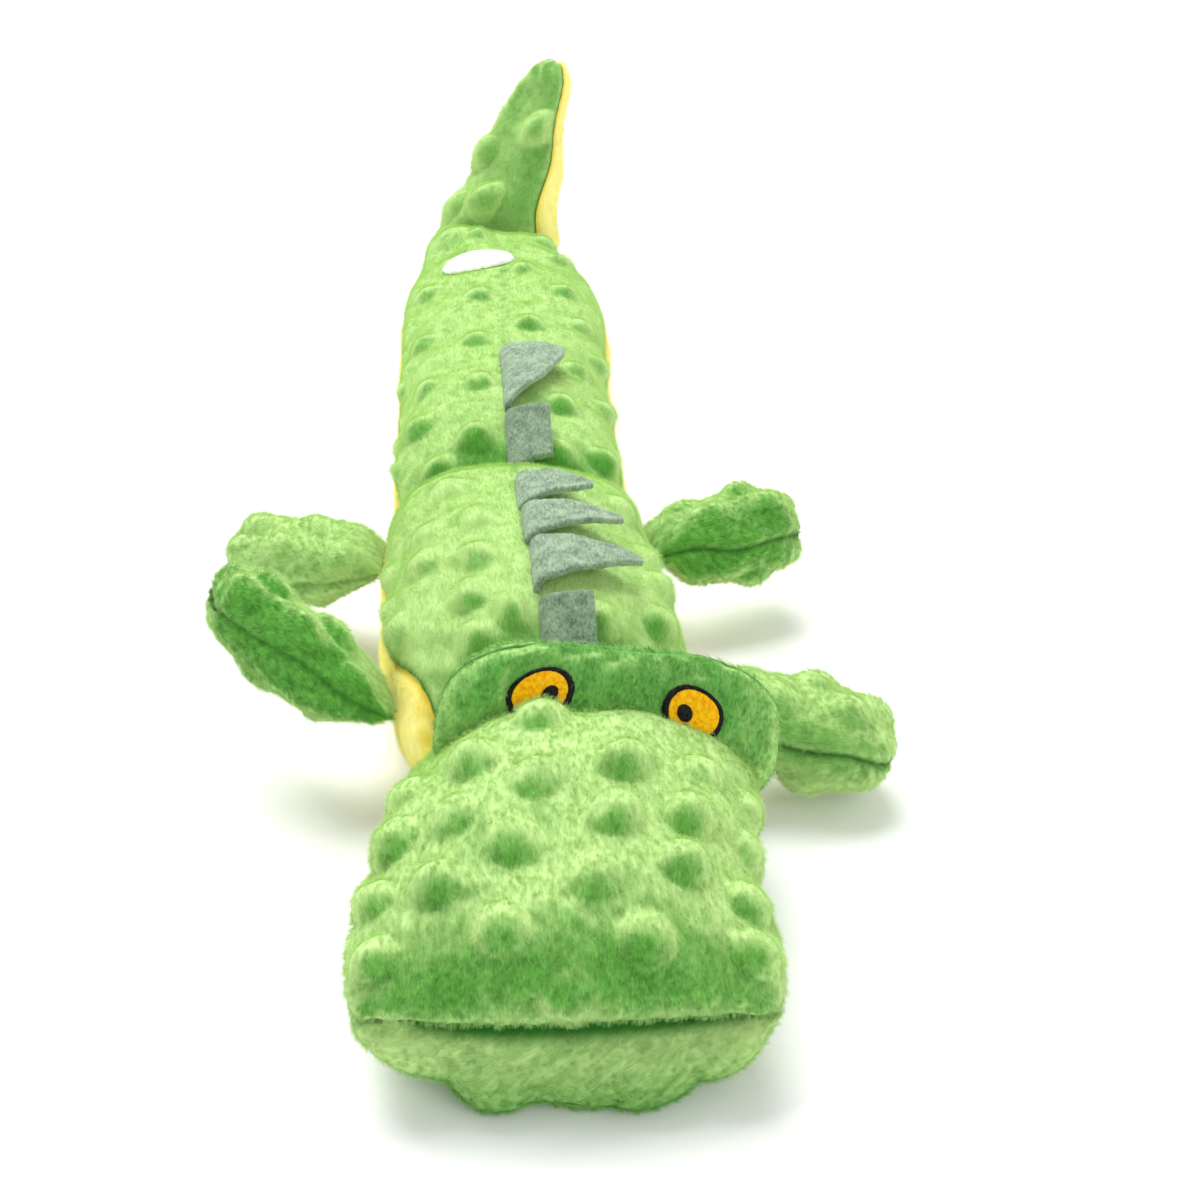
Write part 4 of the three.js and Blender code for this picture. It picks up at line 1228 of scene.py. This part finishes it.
def add_leg(name, side, length, place, raise_degrees, sweep_degrees, bend, seam_up, marked, deep):
    right, left = (seam_up, 180) if side > 0 else (0, 180 - seam_up)
    right_edge, left_edge, right_again = wavy(right), wavy(left), wavy(360 + right)
    panel_look = {"deep": deep, "seam": marked}
    add_section(
        name + "_plush",
        name,
        leg_pillow(side, length, sweep_degrees),
        leg_frame(side, place, raise_degrees),
        [
            panel(right_edge, left_edge, dotted_plush, LEG_DOTS, **panel_look),
            panel(left_edge, right_again, dotted_plush, LEG_DOTS, middle=270, **panel_look),
        ],
        [name + "_upper_panel", name + "_lower_panel", name + "_filling"],
        0.8,
        seam_depth=1.7,
        dot_height=3.4,
        tufts=(1.4, 0.3, 0.8),
        shape=bent(bend),
    )


add_head()
add_brow()
add_torso()
add_tail()
add_tip()
for leg in LEGS:
    add_leg(*leg)


# Fins of felt, sewn into the spine seam

FELT = 2.0
FIN_RAISE = 1.6
FIN_BACK_SHARE = 0.8
FIN_TONGUE = 3.0
FIN_BEND = 4.0
FIN_STEP = 0.5
FIN_RIM = 0.8
RIM_POINTS = 4

ON_TORSO = (torso, torso_frame, "torso")
ON_TAIL = (tail, tail_frame, "tail")

# Each row: section, place along it, length, height, then the tip's place and width and the fullness
# of the front edge as shares, lean and droop in degrees, and felt, the shaded felt being painted
# shade
FINS = (
    (ON_TORSO, 0.145, 20.4, 13.44, (0.5, 0.86, 0.5), 70, 14, shaded_felt),
    (ON_TORSO, 0.317, 20.4, 28, (0.36, 0.1, 0.5), 83, 22, felt),
    (ON_TORSO, 0.486, 20.4, 26.32, (0.4, 0.1, 0.5), 82, 22, felt),
    (ON_TORSO, 0.656, 20.4, 20.72, (0.4, 0.1, 0.5), 82, 16, felt),
    (ON_TAIL, 0.09, 24.48, 13.44, (0.5, 0.86, 0.5), 72, 12, shaded_felt),
    (ON_TAIL, 0.25, 48.96, 20.72, (0.8, 0.06, 0.8), 80, 14, felt),
)


def quadratic(start, control, end, share):
    """Points along a quadratic curve."""
    start, control, end = (np.array(p, float) for p in (start, control, end))
    share = share[:, None]
    return start * (1 - share) ** 2 + 2 * control * share * (1 - share) + end * share**2


def closed_mesh(name, place, uv, matter, loop=False):
    """A closed piece from rings of points, each with its place on the cloth."""
    piece = ringed_piece(name, place, loop)
    mesh = piece.data
    corners = read_all(mesh.loops, "vertex_index")
    layer = mesh.uv_layers.new(name="cloth")
    layer.data.foreach_set("uv", uv.reshape(-1, 2)[corners].ravel() * MM)
    mesh.materials.append(matter)
    return piece


def fin_edges(number, rise, length, height, tip_share, width_share, front_share):
    """Where the front and the back edge lie at each rise, both a little ragged."""
    half = length / 2
    tip_start, tip_end = (
        length * (tip_share + sign * width_share / 2) - half for sign in (-1, 1)
    )
    fine = np.linspace(0, 1, 400)
    front_bend = ((tip_start - half) / 2, height * front_share)
    back_bend = ((tip_end + half) / 2, height * FIN_BACK_SHARE)
    front = quadratic((-half, 0), front_bend, (tip_start, height), fine)
    back = quadratic((half, 0), back_bend, (tip_end, height), fine)
    ragged = waves(np.stack([rise, 0 * rise, 0 * rise + number], -1), 3, 31) * 0.12
    front_edge = np.interp(rise, front[:, 1], front[:, 0]) + ragged
    return front_edge, np.interp(rise, back[:, 1], back[:, 0]) - ragged[::-1]


def felt_ring(count):
    """A ring round the felt, as shares across the fin and through the felt."""
    there, back = np.linspace(0, 1, count), np.linspace(1, 0, count)
    across = np.r_[there, np.ones(RIM_POINTS), back, np.zeros(RIM_POINTS)]
    through = np.r_[np.full(count, -0.5), np.linspace(-0.5, 0.5, RIM_POINTS + 2)[1:-1]]
    return across, np.r_[through, -through]


def add_fin(number, section, place, length, height, tip_form, lean, droop, matter):
    pillow, section_frame, body = section
    root, along, out = pillow.point(pillow.at_length(place), 90)
    pitch = math.degrees(math.atan2(along[2], along[1]))
    placement = section_frame @ turned("X", (pitch,), root + out * FIN_RAISE)
    rise = np.arange(-FIN_TONGUE, height + FIN_STEP / 2, FIN_STEP)
    front_edge, back_edge = fin_edges(number, rise, length, height, *tip_form)

    # The sheet comes up out of the seam, bends over to its lean and droops towards its tip
    angle = lean * grow(rise, -FIN_TONGUE, FIN_BEND)
    angle = angle + droop * grow(rise, FIN_BEND, height)
    steps = np.radians(angle[1:] + angle[:-1]) / 2
    sideways = np.r_[0, np.cumsum(np.sin(steps))] * FIN_STEP
    upwards = np.r_[0, np.cumsum(np.cos(steps))] * FIN_STEP - FIN_TONGUE

    across, through = felt_ring(round(length / FIN_STEP))
    y = front_edge[:, None] + across * (back_edge - front_edge)[:, None]
    from_edge = np.minimum(across, 1 - across) * (back_edge - front_edge)[:, None]
    from_edge = np.minimum(from_edge, height - rise[:, None] + 0.2)
    rim_share = 1 - np.clip(from_edge, 0, FIN_RIM) / FIN_RIM
    thickness = FELT * np.sqrt(np.clip(1 - rim_share**2, 0.1, 1))
    layer = np.full(y.shape, number * 40)
    flat = np.stack([y, np.broadcast_to(rise[:, None], y.shape), layer], -1)
    wave = waves(flat, 16, 32) * 0.35 * grow(rise, 2, 12)[:, None]
    offset = through * thickness + wave + waves(flat, 1.6, 33) * 0.05
    tilt = np.radians(angle)[:, None]
    x = sideways[:, None] + offset * np.cos(tilt)
    z = upwards[:, None] - offset * np.sin(tilt)

    place = to_row(np.stack([x, y, z], -1), placement)
    piece = closed_mesh(f"back_fin_{number}_felt", place, flat[..., :2], matter)
    add_fuzz(piece)
    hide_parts(f"back_fin_{number}")
    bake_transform(piece)


for number, row in enumerate(FINS, 1):
    add_fin(number, *row)


# Embroidered eyes and the label


def patch(name, pillow, placement, t, angle, rings, matter, loop=False):
    """A closed patch from rings of (along, across) offsets in millimetres and heights."""
    along, across, raised = rings
    _, ahead, beside = pillow.ways(t, angle)
    along_rate, across_rate = (np.linalg.norm(way) / TINY_STEP for way in (ahead, beside))
    curve_places = t + along.ravel() / along_rate
    angles = angle + across.ravel()[:, None] / across_rate
    under = pillow.points(curve_places, angles)[:, 0]
    ahead = pillow.points(curve_places + TINY_STEP, angles)[:, 0] - under
    beside = pillow.points(curve_places, angles + TINY_STEP)[:, 0] - under
    out = np.cross(ahead, beside)
    out /= np.linalg.norm(out, axis=1, keepdims=True)
    place = to_row(under + out * raised.ravel()[:, None], placement)
    uv = np.stack([across, along], -1)
    return closed_mesh(name, place.reshape(*along.shape, 3), uv, matter, loop)


def stitched_disc(half_along, half_across, raised, thickness, slant, seed, sectors=150, rings=34):
    """Rings from the top's middle over the rim to the underside's, with ridges of thread."""
    turn = np.linspace(0, math.tau, sectors, endpoint=False)
    share = np.r_[np.linspace(0.02, 1, rings), np.linspace(1, 0.02, 6)]
    top = np.r_[np.ones(rings), np.zeros(6)]
    along = share[:, None] * half_along * np.cos(turn)
    across = share[:, None] * half_across * np.sin(turn)
    spot = np.stack([along, across, np.full_like(along, seed)], -1)
    lie = along * math.sin(slant) + across * math.cos(slant) + waves(spot, 3.5, seed) * 0.12
    ridge = np.abs(np.sin(math.pi * lie / STITCH))
    along_thread = along * math.cos(slant) - across * math.sin(slant)
    row = np.cos(math.tau * along_thread / STITCH_LENGTH + np.round(lie / STITCH) * 2.4)
    edge = np.sqrt(np.clip(1 - np.clip((share - 0.86) / 0.14, 0, 1) ** 2, 0.02, 1))[:, None]
    cover = thickness * edge + 0.12 * ridge - 0.05 * np.clip(row, 0, 1) ** 4
    jag = 1 + 0.02 * waves(spot * 2.5, 1.5, seed + 1) * (share[:, None] > 0.95)
    return along * jag, across * jag, raised + top[:, None] * cover


def stitched_ring(half_along, half_across, inner, raised, thickness, seed, stitches=100):
    """A raised band of short stitches across its width, with jagged edges."""
    turn = np.linspace(0, math.tau, 3 * stitches, endpoint=False)[:, None]
    profile = np.linspace(0, math.tau, 14, endpoint=False)
    rng = np.random.default_rng(seed)
    outer_jag = np.repeat(rng.uniform(-0.012, 0.018, stitches), 3)
    inner_jag = np.repeat(rng.uniform(-0.014, 0.01, stitches), 3)
    ridge = np.tile([0.0, 0.1, 0.05], stitches)
    out, into = 1 + outer_jag, inner + inner_jag
    middle, half = (out + into) / 2, (out - into) / 2
    share = middle[:, None] + half[:, None] * np.cos(profile)
    height = raised + (thickness / 2 + ridge[:, None]) * (1 + np.sin(profile))
    return share * half_along * np.cos(turn), share * half_across * np.sin(turn), height


def add_eye(side, sign, place):
    t = brow.at_length(place)
    middle = angle_across(brow, t, sign * EYE_SPACING / 2)
    inner = angle_across(brow, t, sign * (EYE_SPACING / 2 - PUPIL_SHIFT))
    iris = stitched_disc(
        EYE_HALF_HEIGHT * IRIS_SHARE, EYE_HALF_WIDTH * IRIS_SHARE, 0.0, 0.55, 0.9, 41
    )
    ring = stitched_ring(EYE_HALF_HEIGHT, EYE_HALF_WIDTH, OUTLINE_SHARE, 0.0, 0.75, 42)
    pupil = stitched_disc(PUPIL_HALF_HEIGHT, PUPIL_HALF_WIDTH, 0.5, 0.6, 0.4, 43, 60, 16)
    for part, rings, at, matter in (
        ("iris", iris, middle, iris_thread),
        ("outline", ring, middle, black_thread),
        ("pupil", pupil, inner, black_thread),
    ):
        name = f"{side}_eye_{part}"
        piece = patch(
            name + "_stitches", brow, brow_frame, t, at, rings, matter, loop=part == "outline"
        )
        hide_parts(name)
        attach(piece, "head")


def add_label():
    along, across, height = stitched_disc(
        LABEL_HALF_LENGTH, LABEL_HALF_WIDTH, 0.1, 1.6, 0.0, 44, 120, 30
    )
    rings = (along - LABEL_SLANT * across, across, height)
    angle = math.radians(LABEL_DEGREES)
    label_piece = patch("tail_label_satin", tail, tail_frame, label_t, angle, rings, label_cloth)
    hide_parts("tail_label")
    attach(label_piece, "tail")


for eye in EYES:
    add_eye(*eye)
add_label()
